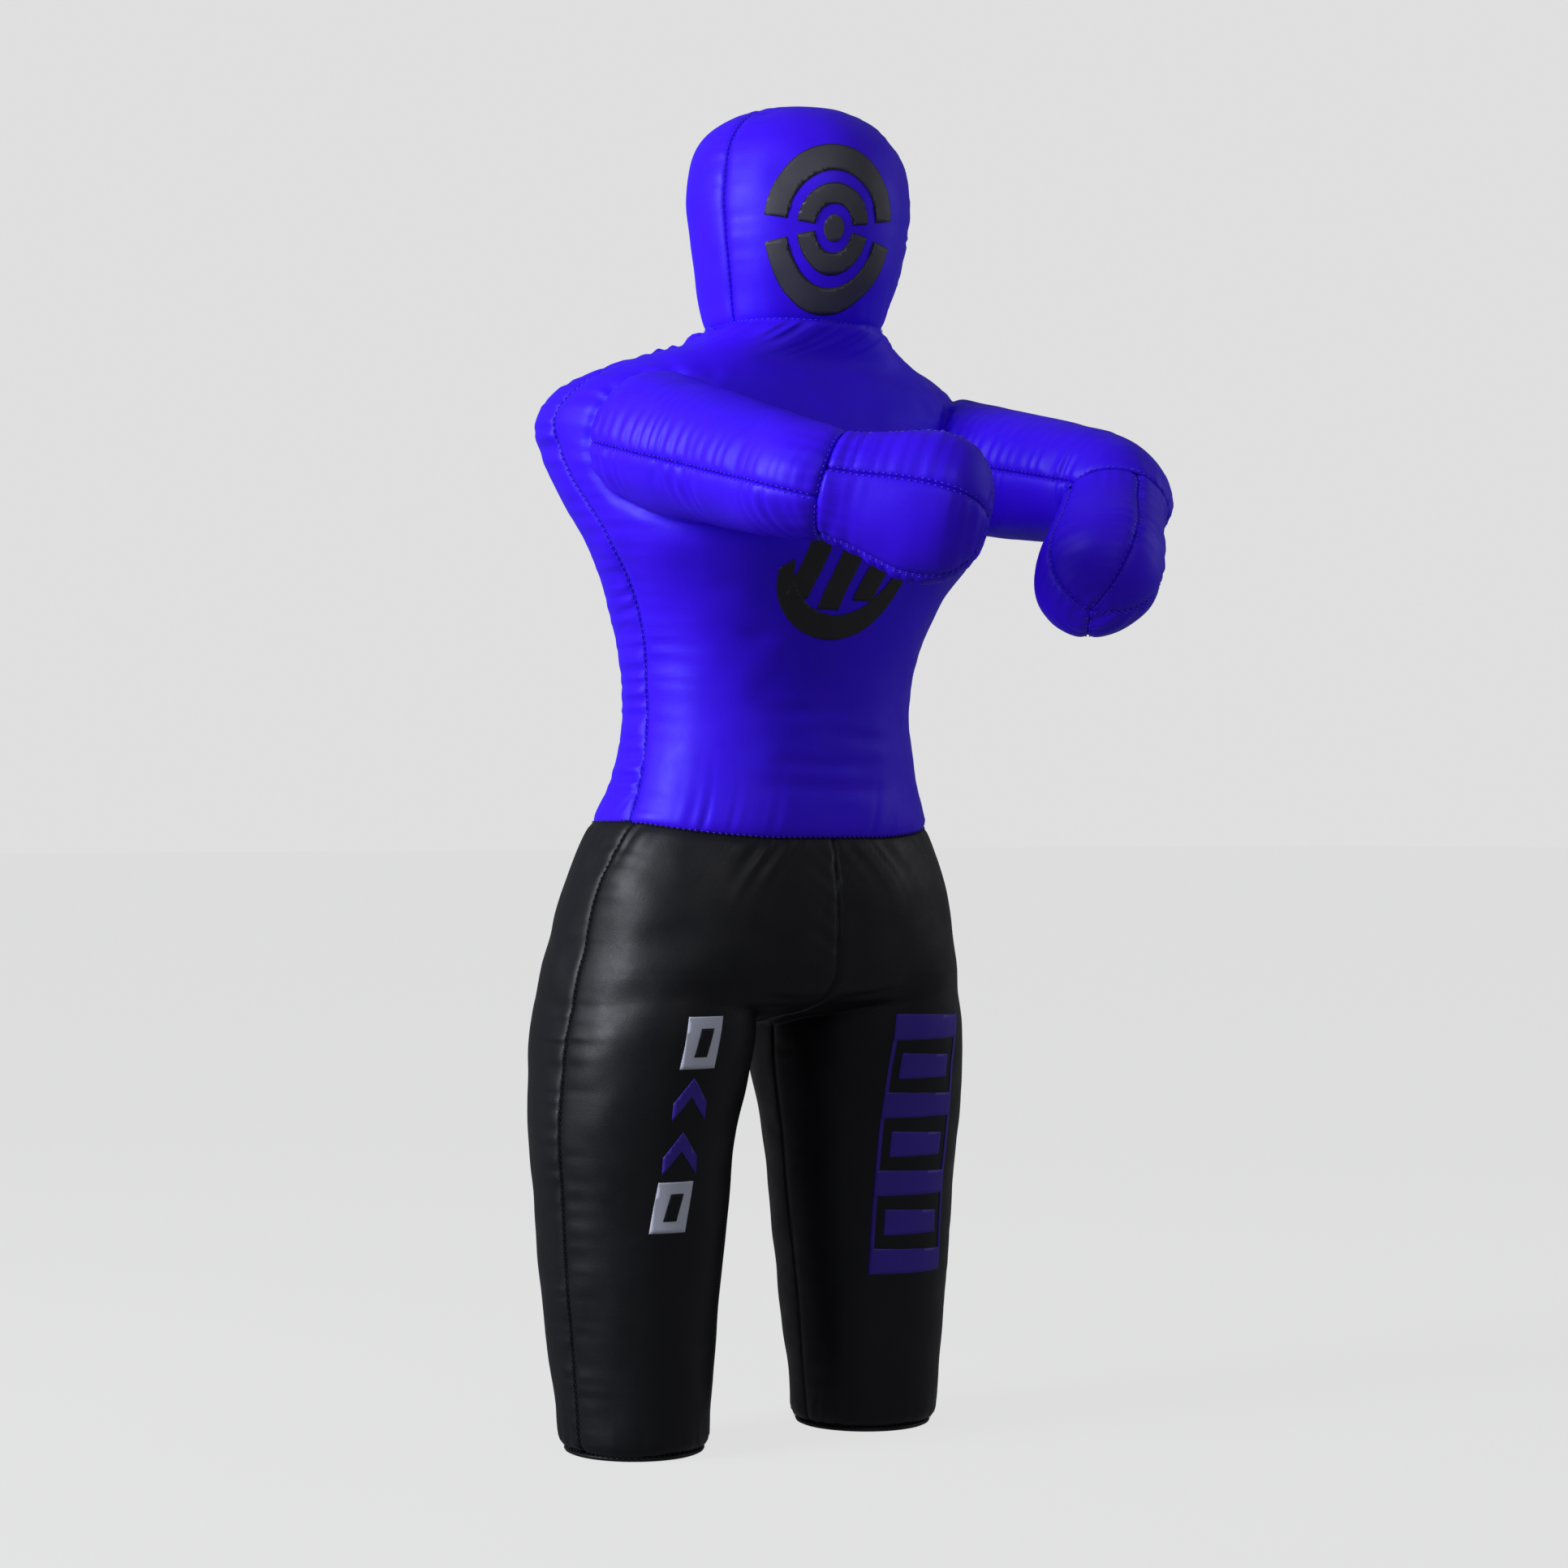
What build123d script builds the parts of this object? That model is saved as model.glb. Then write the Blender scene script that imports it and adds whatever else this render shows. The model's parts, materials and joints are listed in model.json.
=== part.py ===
"""Grappling dummy: a stuffed, sewn training figure with a head, torso, two hugging arms and two legs
that end at the knee. Millimetres, +Z up, face towards -Y, origin on the floor between the two leg ends.

Each sewn cover panel is its own thin solid. The stuffing inside is one solid for each stretch between
two flexing places, with a ball at the flexing place and a socket round it."""

from build123d import *
import math
import os

# ---- driving dimensions -------------------------------------------------------------------------
SKIN = 2.0  # cover panel thickness
FIT = 0.5  # air between a cover panel and the stuffing, and between stuffing balls and sockets
LEG_SLOPE = 30  # degrees
GORE_TURNS = 9  # cuts through one gore
HEAD_TURN = -11  # degrees the face looks towards the dummy's right
HEAD_AXIS_Y = -76
HEAD_FILL_TOP = 1382
FACE_GORE = 66  # degrees each side of straight ahead that the face panel covers
EASE = 1.5  # extra room between cover and stuffing and round anything that swings
RING_POINTS = 24  # points on one body section
PANEL_POINTS = 11  # points across one cover panel
BODY_POWER = 2.4  # superellipse power of the body sections, 2 is an ellipse
LEG_POWER = 2.1
SEAM_TURN = 0.25  # degrees of air on each side of a seam
SEAM_GAP = 0.3
BLEND = 18  # how softly hips and legs flow together
FAR = 900  # longer than any panel, for cutting regions
HALVINGS = 30  # steps in a search by halving

WAIST_Z = 648  # seam between the upper body and the trousers
NECK_Z = 1156  # seam between the upper body and the head
CROWN_Z = 1390
CROTCH_Z = 443
CROTCH_BAND = (440, 490)  # heights where the trousers turn under the hips
LEVEL_CUT = (1.05, 1.6)  # a level cut's width through the skin, outside and inside that band

# z, half width, half depth, middle in Y
PELVIS = [
    (CROTCH_Z, 120, 40, 6),
    (452, 186, 92, 5),
    (466, 216, 130, 4),
    (490, 225, 149, 2),
    (545, 220, 151, -2),
    (597, 206.5, 144, -8),
    (WAIST_Z, 184, 133, -12),
]
TROUSER_Z = [5.5, 16, 60, 120, 190, 260, 330, 390, 415, 424, 432, 440, 448, 458, 470, 485, 500]
TROUSER_Z += [522, 545, 597, 647.5]
TORSO = [
    (WAIST_Z, 184, 133, -12),
    (674, 172, 127, -18),
    (700, 164, 120, -22),
    (740, 156, 117, -25),
    (777, 155, 118, -26),
    (829, 161, 123, -31),
    (880, 181, 134, -41),
    (929, 210, 147, -54),
    (980, 232, 152, -36),
    (1030, 247, 156, -20),
    (1065, 250, 154, -14),
    (1095, 226, 142, -15),
    (1118, 178, 118, -30),
    (1136, 124, 96, -56),
    (NECK_Z, 90, 88, -72),
]
HEAD = [
    (NECK_Z, 90, 88, -72),
    (1181, 97, 98, -74),
    (1215, 105, 107, -79),
    (1257, 112, 114, -81),
    (1295, 114, 117, -81),
    (1333, 107, 111, -78),
    (1359, 90, 94, -74),
    (1376, 66, 70, -71),
    (1386, 38, 42, -69),
    (CROWN_Z, 14, 16, -68),
]
# z, middle in X, half width, half depth, middle in Y
LEG = [
    (SKIN, 147, 70, 73, 4),
    (16, 148, 75, 78, 4),
    (60, 148, 78, 82, 5),
    (120, 149, 84, 88, 8),
    (190, 149, 90, 95, 9),
    (260, 148, 96, 101, 9),
    (330, 146, 102, 110, 9),
    (390, 140, 106, 121, 8),
    (440, 135, 105, 130, 6),
    (500, 130, 93, 124, 3),
    (545, 124, 68, 105, 0),
]
# the side seam, from the leg end up to the neck: Y, Z
SIDE_SEAM = [
    (-9, -20),
    (-10, 150),
    (-13, 400),
    (-24, 560),
    (-37, WAIST_Z),
    (-31, 760),
    (-44, 880),
    (-46, 940),
    (-14, 1010),
    (-4, 1060),
    (-26, 1110),
    (-66, NECK_Z + 20),
]

# arms, each built straight ahead of its shoulder ball and then drooped about the X axis through it
SHOULDER = (190, -105, 1029)  # the left arm's; the right arm's is its mirror image
ARM_DROOP = {"right": 13.0, "left": 10.6}  # degrees below level
ARM_R = 68.0  # at the shoulder
ELBOW_R = 61.0
UPPER_ARM = 265.0  # shoulder ball to elbow ball
FOREARM_IN = {"right": 47.0, "left": 46.0}  # degrees the forearm points inwards
FOREARM_DOWN = {"right": 4.6, "left": 40.0}  # degrees it points down from the upper arm's plane
# distance from the elbow's middle, half height, half width of the closed forearm end
FIST = [
    (32, 52.5, 51),
    (54, 56, 52),
    (80, 64, 55),
    (110, 71, 58.5),
    (138, 68, 56),
    (158, 54, 44),
    (170, 33, 27),
    (174, 12, 10),
]
FIST_SEAMS = (-55, 28, 95, 180)  # degrees round the forearm, 0 outside and 90 on top
FIST_FILL_START = (20, 46, 46)  # inside the elbow ball
FIST_FILL_END = 166.5
TRIM = 200  # side of the blocks that trim an arm at its elbow

# flexing places
NECK_BALL = (0, -72, 1165)
NECK_BALL_R = 78
HEAD_START = 28  # above the neck ball's middle, where the head's stuffing begins
COLLAR = 17  # below the neck ball's middle, where the torso's stuffing ends
WAIST_PIVOT = (0, -20, 706)
WAIST_R = 110
WAIST_RIM = 61  # below the pivot, where the pelvis stuffing ends
HIP = (115, 2, 500)
HIP_R = 88
HIP_RIM = 14  # above the hip's middle, where the pelvis stuffing begins
SHOULDER_START = 20  # past the shoulder's middle, where the upper arm's stuffing begins
ELBOW_BALL_R = 57
ELBOW_RIM = 14  # behind the elbow's middle, where the upper arm's stuffing ends
ELBOW_RIM_R = 90
SPREAD_STEPS = (0, 17, 35)
LIFT_STEPS = (-20, 10, 40)
ELBOW_STEPS = (-12, 4, 20, 35)
CENTRE_GAP = 3  # each leg's stuffing stays this far from the middle plane
LEG_FILL_START = 12.4  # below the hip's middle

# leg end discs
SOLE_THICK = 5
SOLE_RIM = 2  # how far a disc stands out past the leg's cover
SOLE_GAP = 0.2

# back zip, straight up the middle of the back
ZIP_Z = (757, 933)
ZIP_Y = 93.2  # the back panels' outer face there
ZIP_TAPE = (13, 1.2)  # width of one tape, thickness
ZIP_TOOTH = (4.2, 2.0, 1.53)  # X, Y, Z
ZIP_PITCH = 3.4
ZIP_SPLIT = 0.4  # half the air between the tapes
ZIP_LIFT = 0.05  # air under the teeth and stops
ZIP_ROOM = (0.3, 1)  # air beside the tapes and at their ends
ZIP_MARGIN = 8  # from a tape's end to its row of teeth
ZIP_OVERLAP = 0.9  # how far a tooth reaches over the middle
ZIP_BOTTOM_STOP = (8, 2.8, 4)
ZIP_TOP_STOP = (3, 2.8, 4)
ZIP_STOP_Z = (3.6, -3.0)  # the stops' middles, from the tapes' lower and upper ends
ZIP_SLIDER = (11, 6.2, 13)
ZIP_BRIDGE = (2, 4, 8)
ZIP_PIN_R = 1.1
ZIP_CHEEK = (1.8, 2.2, 9.2)
ZIP_PULL = (7, 1.6, 34)


# ---- shapes -------------------------------------------------------------------------------------
def between(table, z):
    """A row of a table of sections at any height, by straight interpolation."""
    for low, high in zip(table, table[1:]):
        if low[0] <= z <= high[0]:
            f = (z - low[0]) / (high[0] - low[0])
            return [p + (q - p) * f for p, q in zip(low, high)]
    return list(table[0] if z < table[0][0] else table[-1])


def signed_power(value, power):
    return math.copysign(abs(value) ** power, value)


def on_ring(row, angle, inset=0.0, power=BODY_POWER):
    """The point of a level superellipse section at an angle in degrees, 0 on the left, -90 in front."""
    z, half_width, half_depth, y = row
    c, s = math.cos(math.radians(angle)), math.sin(math.radians(angle))
    return (
        (half_width - inset) * signed_power(c, 2 / power),
        y + (half_depth - inset) * signed_power(s, 2 / power),
        z,
    )


def closed_spline(points):
    return Wire([Edge.make_spline([Vector(*p) for p in points], periodic=True)])


def ring(row, x=0.0, inset=0.0, power=BODY_POWER):
    """A closed level section as a wire."""
    points = [on_ring(row, 360 * i / RING_POINTS, inset, power) for i in range(RING_POINTS)]
    return closed_spline([(x + px, py, pz) for px, py, pz in points])


def body_loft(sections, inset=0.0, power=BODY_POWER):
    """A solid through level sections, set in by a distance measured square to the surface."""
    rings = []
    for i, row in enumerate(sections):
        rings.append(ring(row, inset=inset * slant(sections, i), power=power))
    return Solid.make_loft(rings, ruled=True)


def leg_loft(side, inset, low, high):
    """One leg's solid between two heights."""
    rows = [r for r in LEG if low < r[0] < high]
    rows = [between(LEG, low)] + rows + [between(LEG, high)]
    return Solid.make_loft(
        [ring((z, w, d, y), x=side * x, inset=inset, power=LEG_POWER) for z, x, w, d, y in rows],
        ruled=True,
    )


def strip(sections):
    """A thin panel through sections, each given as its outer points and its inner points."""
    wires = []
    for outer, inner in sections:
        outer = [Vector(*p) for p in outer]
        inner = [Vector(*p) for p in inner]
        wires.append(
            Wire(
                [
                    Edge.make_spline(outer),
                    Edge.make_line(outer[-1], inner[-1]),
                    Edge.make_spline(list(reversed(inner))),
                    Edge.make_line(inner[0], outer[0]),
                ]
            )
        )
    panel = Solid.make_loft(wires, ruled=True)
    return panel if panel.volume > 0 else Solid.make_loft(wires[::-1], ruled=True)


def slant(sections, i):
    """How much wider than the skin a level cut through the skin is, at one of the sections."""
    low, high = sections[max(i - 1, 0)], sections[min(i + 1, len(sections) - 1)]
    out = (high[1] + high[2] - low[1] - low[2]) / 2
    up = high[0] - low[0]
    return math.hypot(out, up) / up


def side_angle(row):
    """Where the side seam is on a section of the body, in degrees from straight left."""
    z, _, half_depth, y = row
    seam_y = between([(sz, sy) for sy, sz in SIDE_SEAM], z)[1]
    share = signed_power((seam_y - y) / half_depth, BODY_POWER / 2)
    return math.degrees(math.asin(share))


def body_panel(sections, start, end):
    """A thin panel of the body between two seams, each a function of the section."""
    made = []
    for i, row in enumerate(sections):
        a, b = start(row) + SEAM_TURN, end(row) - SEAM_TURN
        count = PANEL_POINTS
        angles = [a + (b - a) * k / (count - 1) for k in range(count)]
        inset = SKIN * slant(sections, i)
        outer = [on_ring(row, t) for t in angles]
        inner = [on_ring(row, t, inset) for t in angles]
        made.append((outer, inner))
    return strip(made)


def single(shape):
    """The largest solid of a shape, without slivers that a cut may leave."""
    return max(shape.solids(), key=lambda s: s.volume)


def ball(centre, radius):
    return Pos(*centre) * Sphere(radius)


def box(x0, x1, y0, y1, z0, z1):
    middle = Pos((x0 + x1) / 2, (y0 + y1) / 2, (z0 + z1) / 2)
    return middle * Box(x1 - x0, y1 - y0, z1 - z0)


# ---- head ---------------------------------------------------------------------------------------
def skin_section(profile):
    """The outer and the inner points of a cover's cut, from its (distance out, distance up) profile."""
    inner = [(profile[0][0] - SKIN, profile[0][1])]
    for i in range(1, len(profile)):
        (r0, u0), (r1, u1) = profile[i - 1], profile[min(i + 1, len(profile) - 1)]
        length = math.hypot(r1 - r0, u1 - u0)
        r, u = profile[i]
        inner.append((r - SKIN * (u1 - u0) / length, u + SKIN * (r1 - r0) / length))
    return profile, inner


def head_gore(start, end):
    """One gore of the head's cover, from the neck seam to the crown, between two angles."""
    sections = []
    rows = [(NECK_Z + FIT, *HEAD[0][1:])] + HEAD[1:]
    for k in range(GORE_TURNS):
        share = k / (GORE_TURNS - 1)
        angle = math.radians(start + SEAM_TURN + (end - start - 2 * SEAM_TURN) * share)
        dx, dy = math.sin(angle), -math.cos(angle)
        profile = []
        for z, w, d, y in rows:
            # where a level line from the head's axis meets the section's ellipse
            off = HEAD_AXIS_Y - y
            qa = (dx / w) ** 2 + (dy / d) ** 2
            qb = off * dy / d**2
            qc = (off / d) ** 2 - 1
            profile.append(((-qb + math.sqrt(qb * qb - qa * qc)) / qa, z))
        cut = skin_section(profile)
        sections.append([[(r * dx, HEAD_AXIS_Y + r * dy, z) for r, z in points] for points in cut])
    return strip(sections)


def head():
    """Three cover gores that meet at the crown, and the stuffing of the head and neck."""
    x, y, z = NECK_BALL
    start = z + HEAD_START
    rows = [between(HEAD, start)] + [r for r in HEAD if start < r[0] < HEAD_FILL_TOP]
    fill = body_loft([*rows, between(HEAD, HEAD_FILL_TOP)], SKIN + EASE, 2)
    return {
        "head_face_panel": head_gore(HEAD_TURN - FACE_GORE, HEAD_TURN + FACE_GORE),
        "head_side_panel_left": head_gore(HEAD_TURN + FACE_GORE, HEAD_TURN + 180),
        "head_side_panel_right": head_gore(HEAD_TURN - 180, HEAD_TURN - FACE_GORE),
        "head_stuffing": fill - ball(NECK_BALL, NECK_BALL_R + FIT),
        "neck_stuffing": ball(NECK_BALL, NECK_BALL_R),
    }


# ---- arms ---------------------------------------------------------------------------------------
def arm_frame(side, droop, spread=0.0, lift=0.0):
    """Where one arm's own space lies: its shoulder at the origin and straight ahead along -Y."""
    x, y, z = SHOULDER
    return Pos(side * x, y, z) * Rot(Z=side * spread) * Rot(X=droop - lift)


def forearm_plane(name, flex=0.0):
    """A plane at the elbow whose Z axis runs along the forearm and whose Y axis is its top."""
    side = 1 if name == "left" else -1
    inwards = math.radians(FOREARM_IN[name] - flex)
    down = math.radians(FOREARM_DOWN[name])
    along = Vector(
        -side * math.sin(inwards) * math.cos(down),
        -math.cos(inwards) * math.cos(down),
        -math.sin(down),
    )
    return Plane((0, -UPPER_ARM, 0), x_dir=Vector(0, 0, 1).cross(along), z_dir=along)


def fist_gore(plane, start, end):
    """One gore of the closed end of an arm, between two angles round it."""
    sections = []
    for k in range(GORE_TURNS):
        share = k / (GORE_TURNS - 1)
        t = math.radians(start + SEAM_TURN + (end - start - 2 * SEAM_TURN) * share)
        c, s = math.cos(t), math.sin(t)
        cut = skin_section([(tall * wide / math.hypot(tall * c, wide * s), u) for u, tall, wide in FIST])
        sections.append(
            [[tuple(plane.from_local_coords(Vector(r * c, r * s, u))) for r, u in points] for points in cut]
        )
    return strip(sections)


def fist_fill(plane):
    """The stuffing of the closed end of an arm."""
    room = SKIN + EASE
    wires = []
    for along, tall, wide in [FIST_FILL_START, *FIST[1:-1]]:
        points = []
        for k in range(RING_POINTS):
            t = 2 * math.pi * k / RING_POINTS
            x, y = (wide - room) * math.cos(t), (tall - room) * math.sin(t)
            points.append(tuple(plane.from_local_coords(Vector(x, y, min(along, FIST_FILL_END)))))
        wires.append(closed_spline(points))
    return Solid.make_loft(wires, ruled=True)


def upper_arm_solid(inset=0.0):
    """The upper arm with its round ends, along -Y from the shoulder's middle."""
    r0, r1 = ARM_R - inset, ELBOW_R - inset
    tube = Rot(X=90) * Pos(0, 0, UPPER_ARM / 2) * Cone(r0, r1, UPPER_ARM)
    return tube + ball((0, -UPPER_ARM, 0), r1) + ball((0, 0, 0), r0)


def arm(name, torso_room):
    """One arm's cover panels and stuffing."""
    side = 1 if name == "left" else -1
    place = arm_frame(side, ARM_DROOP[name])
    elbow = (0, -UPPER_ARM, 0)
    plane = forearm_plane(name)
    past_elbow = plane.location * Pos(0, 0, FIST[0][0] - FIT + TRIM / 2) * Box(TRIM, TRIM, TRIM)
    sleeve = upper_arm_solid() - upper_arm_solid(SKIN) - past_elbow
    edge = SEAM_GAP / 2
    half = {"top": box(-FAR, FAR, -FAR, FAR, edge, FAR), "under": box(-FAR, FAR, -FAR, FAR, -FAR, -edge)}
    made = {}
    for part, region in half.items():
        made[f"sleeve_{part}_{name}"] = single(place * (sleeve & region) - torso_room)
    names = ("outer", "top", "inner", "under")
    ends = FIST_SEAMS[1:] + (FIST_SEAMS[0] + 360,)
    for part, a, b in zip(names, FIST_SEAMS, ends):
        if side > 0:
            a, b = 180 - b, 180 - a
        made[f"forearm_{part}_{name}"] = place * fist_gore(plane, a, b)

    made[f"shoulder_stuffing_{name}"] = place * ball((0, 0, 0), ARM_R - SKIN - EASE)
    upper = upper_arm_solid(SKIN + EASE) - box(-FAR, FAR, -SHOULDER_START, FAR, -FAR, FAR)
    upper -= ball((0, 0, 0), ARM_R - SKIN - EASE + FIT)
    upper -= ball(elbow, ELBOW_BALL_R + FIT)
    for flex in ELBOW_STEPS:
        rim = Pos(0, 0, TRIM / 2 - ELBOW_RIM) * Cylinder(ELBOW_RIM_R, TRIM)
        upper -= forearm_plane(name, flex).location * rim
    made[f"upper_arm_stuffing_{name}"] = place * single(upper)
    made[f"forearm_stuffing_{name}"] = place * (fist_fill(plane) + plane.location * Sphere(ELBOW_BALL_R))
    return made


def arm_sweep(side, droop):
    """The space an upper arm's stuffing passes through near the chest."""
    swept = [ball((side * SHOULDER[0], *SHOULDER[1:]), ARM_R + EASE)]
    length = UPPER_ARM - SHOULDER_START
    for spread in SPREAD_STEPS:
        for lift in LIFT_STEPS:
            tube = Pos(0, 0, SHOULDER_START - SKIN + length / 2) * Cylinder(ARM_R + EASE, length)
            swept.append(arm_frame(side, droop, spread, lift) * Rot(X=90) * tube)
    return swept


# ---- torso --------------------------------------------------------------------------------------
def torso():
    """Front and back cover panels with armholes and a zip opening, and the torso's stuffing."""
    top = TORSO[:-1] + [(NECK_Z - FIT, *TORSO[-1][1:])]
    made = {
        "torso_front_panel": body_panel(top, lambda r: -180 - side_angle(r), side_angle),
        "torso_back_panel_left": body_panel(top, side_angle, lambda r: 90),
        "torso_back_panel_right": body_panel(top, lambda r: 90, lambda r: 180 - side_angle(r)),
    }
    half = ZIP_TAPE[0] + ZIP_ROOM[0]
    zip_room = box(-half, half, 0, FAR, ZIP_Z[0] - ZIP_ROOM[1], ZIP_Z[1] + ZIP_ROOM[1])
    for node in made:
        for side, name in ((1, "left"), (-1, "right")):
            made[node] -= arm_frame(side, ARM_DROOP[name]) * upper_arm_solid(-FIT)
        made[node] = single(made[node] - zip_room)
    x, y, z = WAIST_PIVOT
    end = NECK_BALL[2] - COLLAR
    rows = [r for r in TORSO if r[0] < end] + [between(TORSO, end)]
    fill = body_loft([r if i else (z - WAIST_R, *r[1:]) for i, r in enumerate(rows)], SKIN + EASE)
    roller = Pos(x, y, z) * Rot(Y=90) * Cylinder(WAIST_R, 2 * FAR)
    fill -= box(-FAR, FAR, -FAR, FAR, 0, z) - roller
    fill -= ball(NECK_BALL, NECK_BALL_R + FIT)
    for side, name in ((1, "left"), (-1, "right")):
        for swept in arm_sweep(side, ARM_DROOP[name]):
            fill -= swept
    made["torso_stuffing"] = single(fill)
    return made


# ---- trousers -----------------------------------------------------------------------------------
def outside_by(x, y, z):
    """Roughly how far outside the trousers a point is, with hips and legs flowing together."""
    values = []
    _, w, d, cy = between(PELVIS, z)
    if z >= PELVIS[0][0]:
        values.append((w, d, 0, cy, BODY_POWER))
    _, cx, lw, ld, ly = between(LEG, z)
    if z <= LEG[-1][0]:
        values.append((lw, ld, cx, ly, LEG_POWER))
    found = []
    for half_width, half_depth, mx, my, power in values:
        size = (abs((x - mx) / half_width) ** power + abs((y - my) / half_depth) ** power) ** (1 / power)
        found.append((size - 1) * min(half_width, half_depth))
    if len(found) == 1:
        return found[0]
    gap = max(BLEND - abs(found[0] - found[1]), 0) / BLEND
    return min(found) - gap * gap * BLEND / 4


def trouser_reach(z, angle):
    """The trousers' distance from the leg's middle at a height and angle, on the left side."""
    middle = between(LEG, z)
    c, s = math.cos(math.radians(angle)), math.sin(math.radians(angle))
    near, far = 0.0, FAR
    for _ in range(HALVINGS):
        half = (near + far) / 2
        if outside_by(middle[1] + c * half, middle[4] + s * half, z) > 0:
            far = half
        else:
            near = half
    return middle[1] + c * near, middle[4] + s * near, near


def trouser_panel(side, turn):
    """A front (turn -1) or back (turn 1) panel of the trousers, from the side seam to the middle."""
    sections = []
    for z in TROUSER_Z:
        middle = between(LEG, z)
        seam_y = between([(sz, sy) for sy, sz in SIDE_SEAM], z)[1]
        start = math.degrees(math.asin((seam_y - middle[4]) / trouser_reach(z, 0)[2]))
        low, high = 90.0, 180.0
        for _ in range(HALVINGS):
            half = (low + high) / 2
            if trouser_reach(z, turn * half)[0] > SEAM_GAP:
                low = half
            else:
                high = half
        start += turn * SEAM_TURN
        end = turn * min(low, 180 - SEAM_TURN)
        wide = SKIN * LEVEL_CUT[CROTCH_BAND[0] < z < CROTCH_BAND[1]]
        outer, inner = [], []
        for k in range(PANEL_POINTS):
            angle = start + (end - start) * k / (PANEL_POINTS - 1)
            x, y, reach = trouser_reach(z, angle)
            share = (reach - wide) / reach
            outer.append((side * x, y, z))
            inner_x = max(middle[1] + (x - middle[1]) * share, SEAM_GAP)
            inner.append((side * inner_x, middle[4] + (y - middle[4]) * share, z))
        sections.append((outer, inner))
    return strip(sections)


def trousers():
    """Four cover panels, the stuffing of the pelvis and of each leg, and the leg end discs."""
    made = {}
    for side, name in ((-1, "right"), (1, "left")):
        made[f"trouser_front_panel_{name}"] = trouser_panel(side, -1)
        made[f"trouser_back_panel_{name}"] = trouser_panel(side, 1)
    room = SKIN + EASE
    x, y, z = WAIST_PIVOT
    low, high = HIP[2] + HIP_RIM, z - WAIST_RIM
    rows = [r for r in PELVIS if low < r[0] < high]
    rows = [between(PELVIS, low), *rows, between(PELVIS, high)]
    pelvis = body_loft(rows, room)
    pelvis -= Pos(x, y, z) * Rot(Y=90) * Cylinder(WAIST_R + FIT, 2 * FAR)
    for side, name in ((1, "left"), (-1, "right")):
        hip = (side * HIP[0], HIP[1], HIP[2])
        pelvis -= ball(hip, HIP_R + FIT)
        half = box(*sorted((side * CENTRE_GAP, side * FAR)), -FAR, FAR, 0, FAR)
        leg = leg_loft(side, room, SOLE_THICK + FIT, LEG[-1][0])
        # below the hip the stuffing slopes away in front and behind, to let the leg swing
        for turn in (-LEG_SLOPE, LEG_SLOPE):
            leg -= Pos(*hip) * Rot(X=turn) * Pos(0, 0, FAR / 2 - LEG_FILL_START) * Box(FAR, FAR, FAR)
        made[f"leg_stuffing_{name}"] = single(leg + (ball(hip, HIP_R) & half))
        _, x, half_width, half_depth, y = LEG[0]
        rim = ring((0, half_width + SOLE_RIM, half_depth + SOLE_RIM, y), x=side * x, power=LEG_POWER)
        made[f"leg_sole_{name}"] = extrude(Face(rim), amount=SOLE_THICK - SOLE_GAP)
    made["pelvis_stuffing"] = pelvis
    return made


# ---- zip ----------------------------------------------------------------------------------------
def zip_fastener():
    """Two tapes with their teeth, the stops, and the slider with its pull."""
    low, high = ZIP_Z
    width, thick = ZIP_TAPE
    tooth_x, tooth_y, tooth_z = ZIP_TOOTH
    made = {}
    for side, name in ((1, "left"), (-1, "right")):
        x0, x1 = sorted((side * ZIP_SPLIT, side * width))
        made[f"zip_tape_{name}"] = box(x0, x1, ZIP_Y - thick, ZIP_Y, low, high)
        # the two rows interlock across the middle, half a pitch apart
        start = low + ZIP_MARGIN + (ZIP_PITCH / 2 if side > 0 else 0)
        count = int((high - low - 2 * ZIP_MARGIN) / ZIP_PITCH)
        x, y = side * (tooth_x / 2 - ZIP_OVERLAP), ZIP_Y + ZIP_LIFT + tooth_y / 2
        teeth = [Pos(x, y, start + i * ZIP_PITCH) * Box(tooth_x, tooth_y, tooth_z) for i in range(count)]
        made[f"zip_teeth_{name}"] = Compound(teeth)
    stop_y = ZIP_Y + ZIP_LIFT + ZIP_BOTTOM_STOP[1] / 2
    bottom = Pos(0, stop_y, low + ZIP_STOP_Z[0]) * Box(*ZIP_BOTTOM_STOP)
    made["zip_bottom_stop"] = fillet(bottom.edges().filter_by(Axis.Y), 1.2)
    made["zip_top_stops"] = Compound(
        [Pos(side * 3.2, stop_y, high + ZIP_STOP_Z[1]) * Box(*ZIP_TOP_STOP) for side in (-1, 1)]
    )
    made.update(slider_and_pull(high))
    return made


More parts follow.
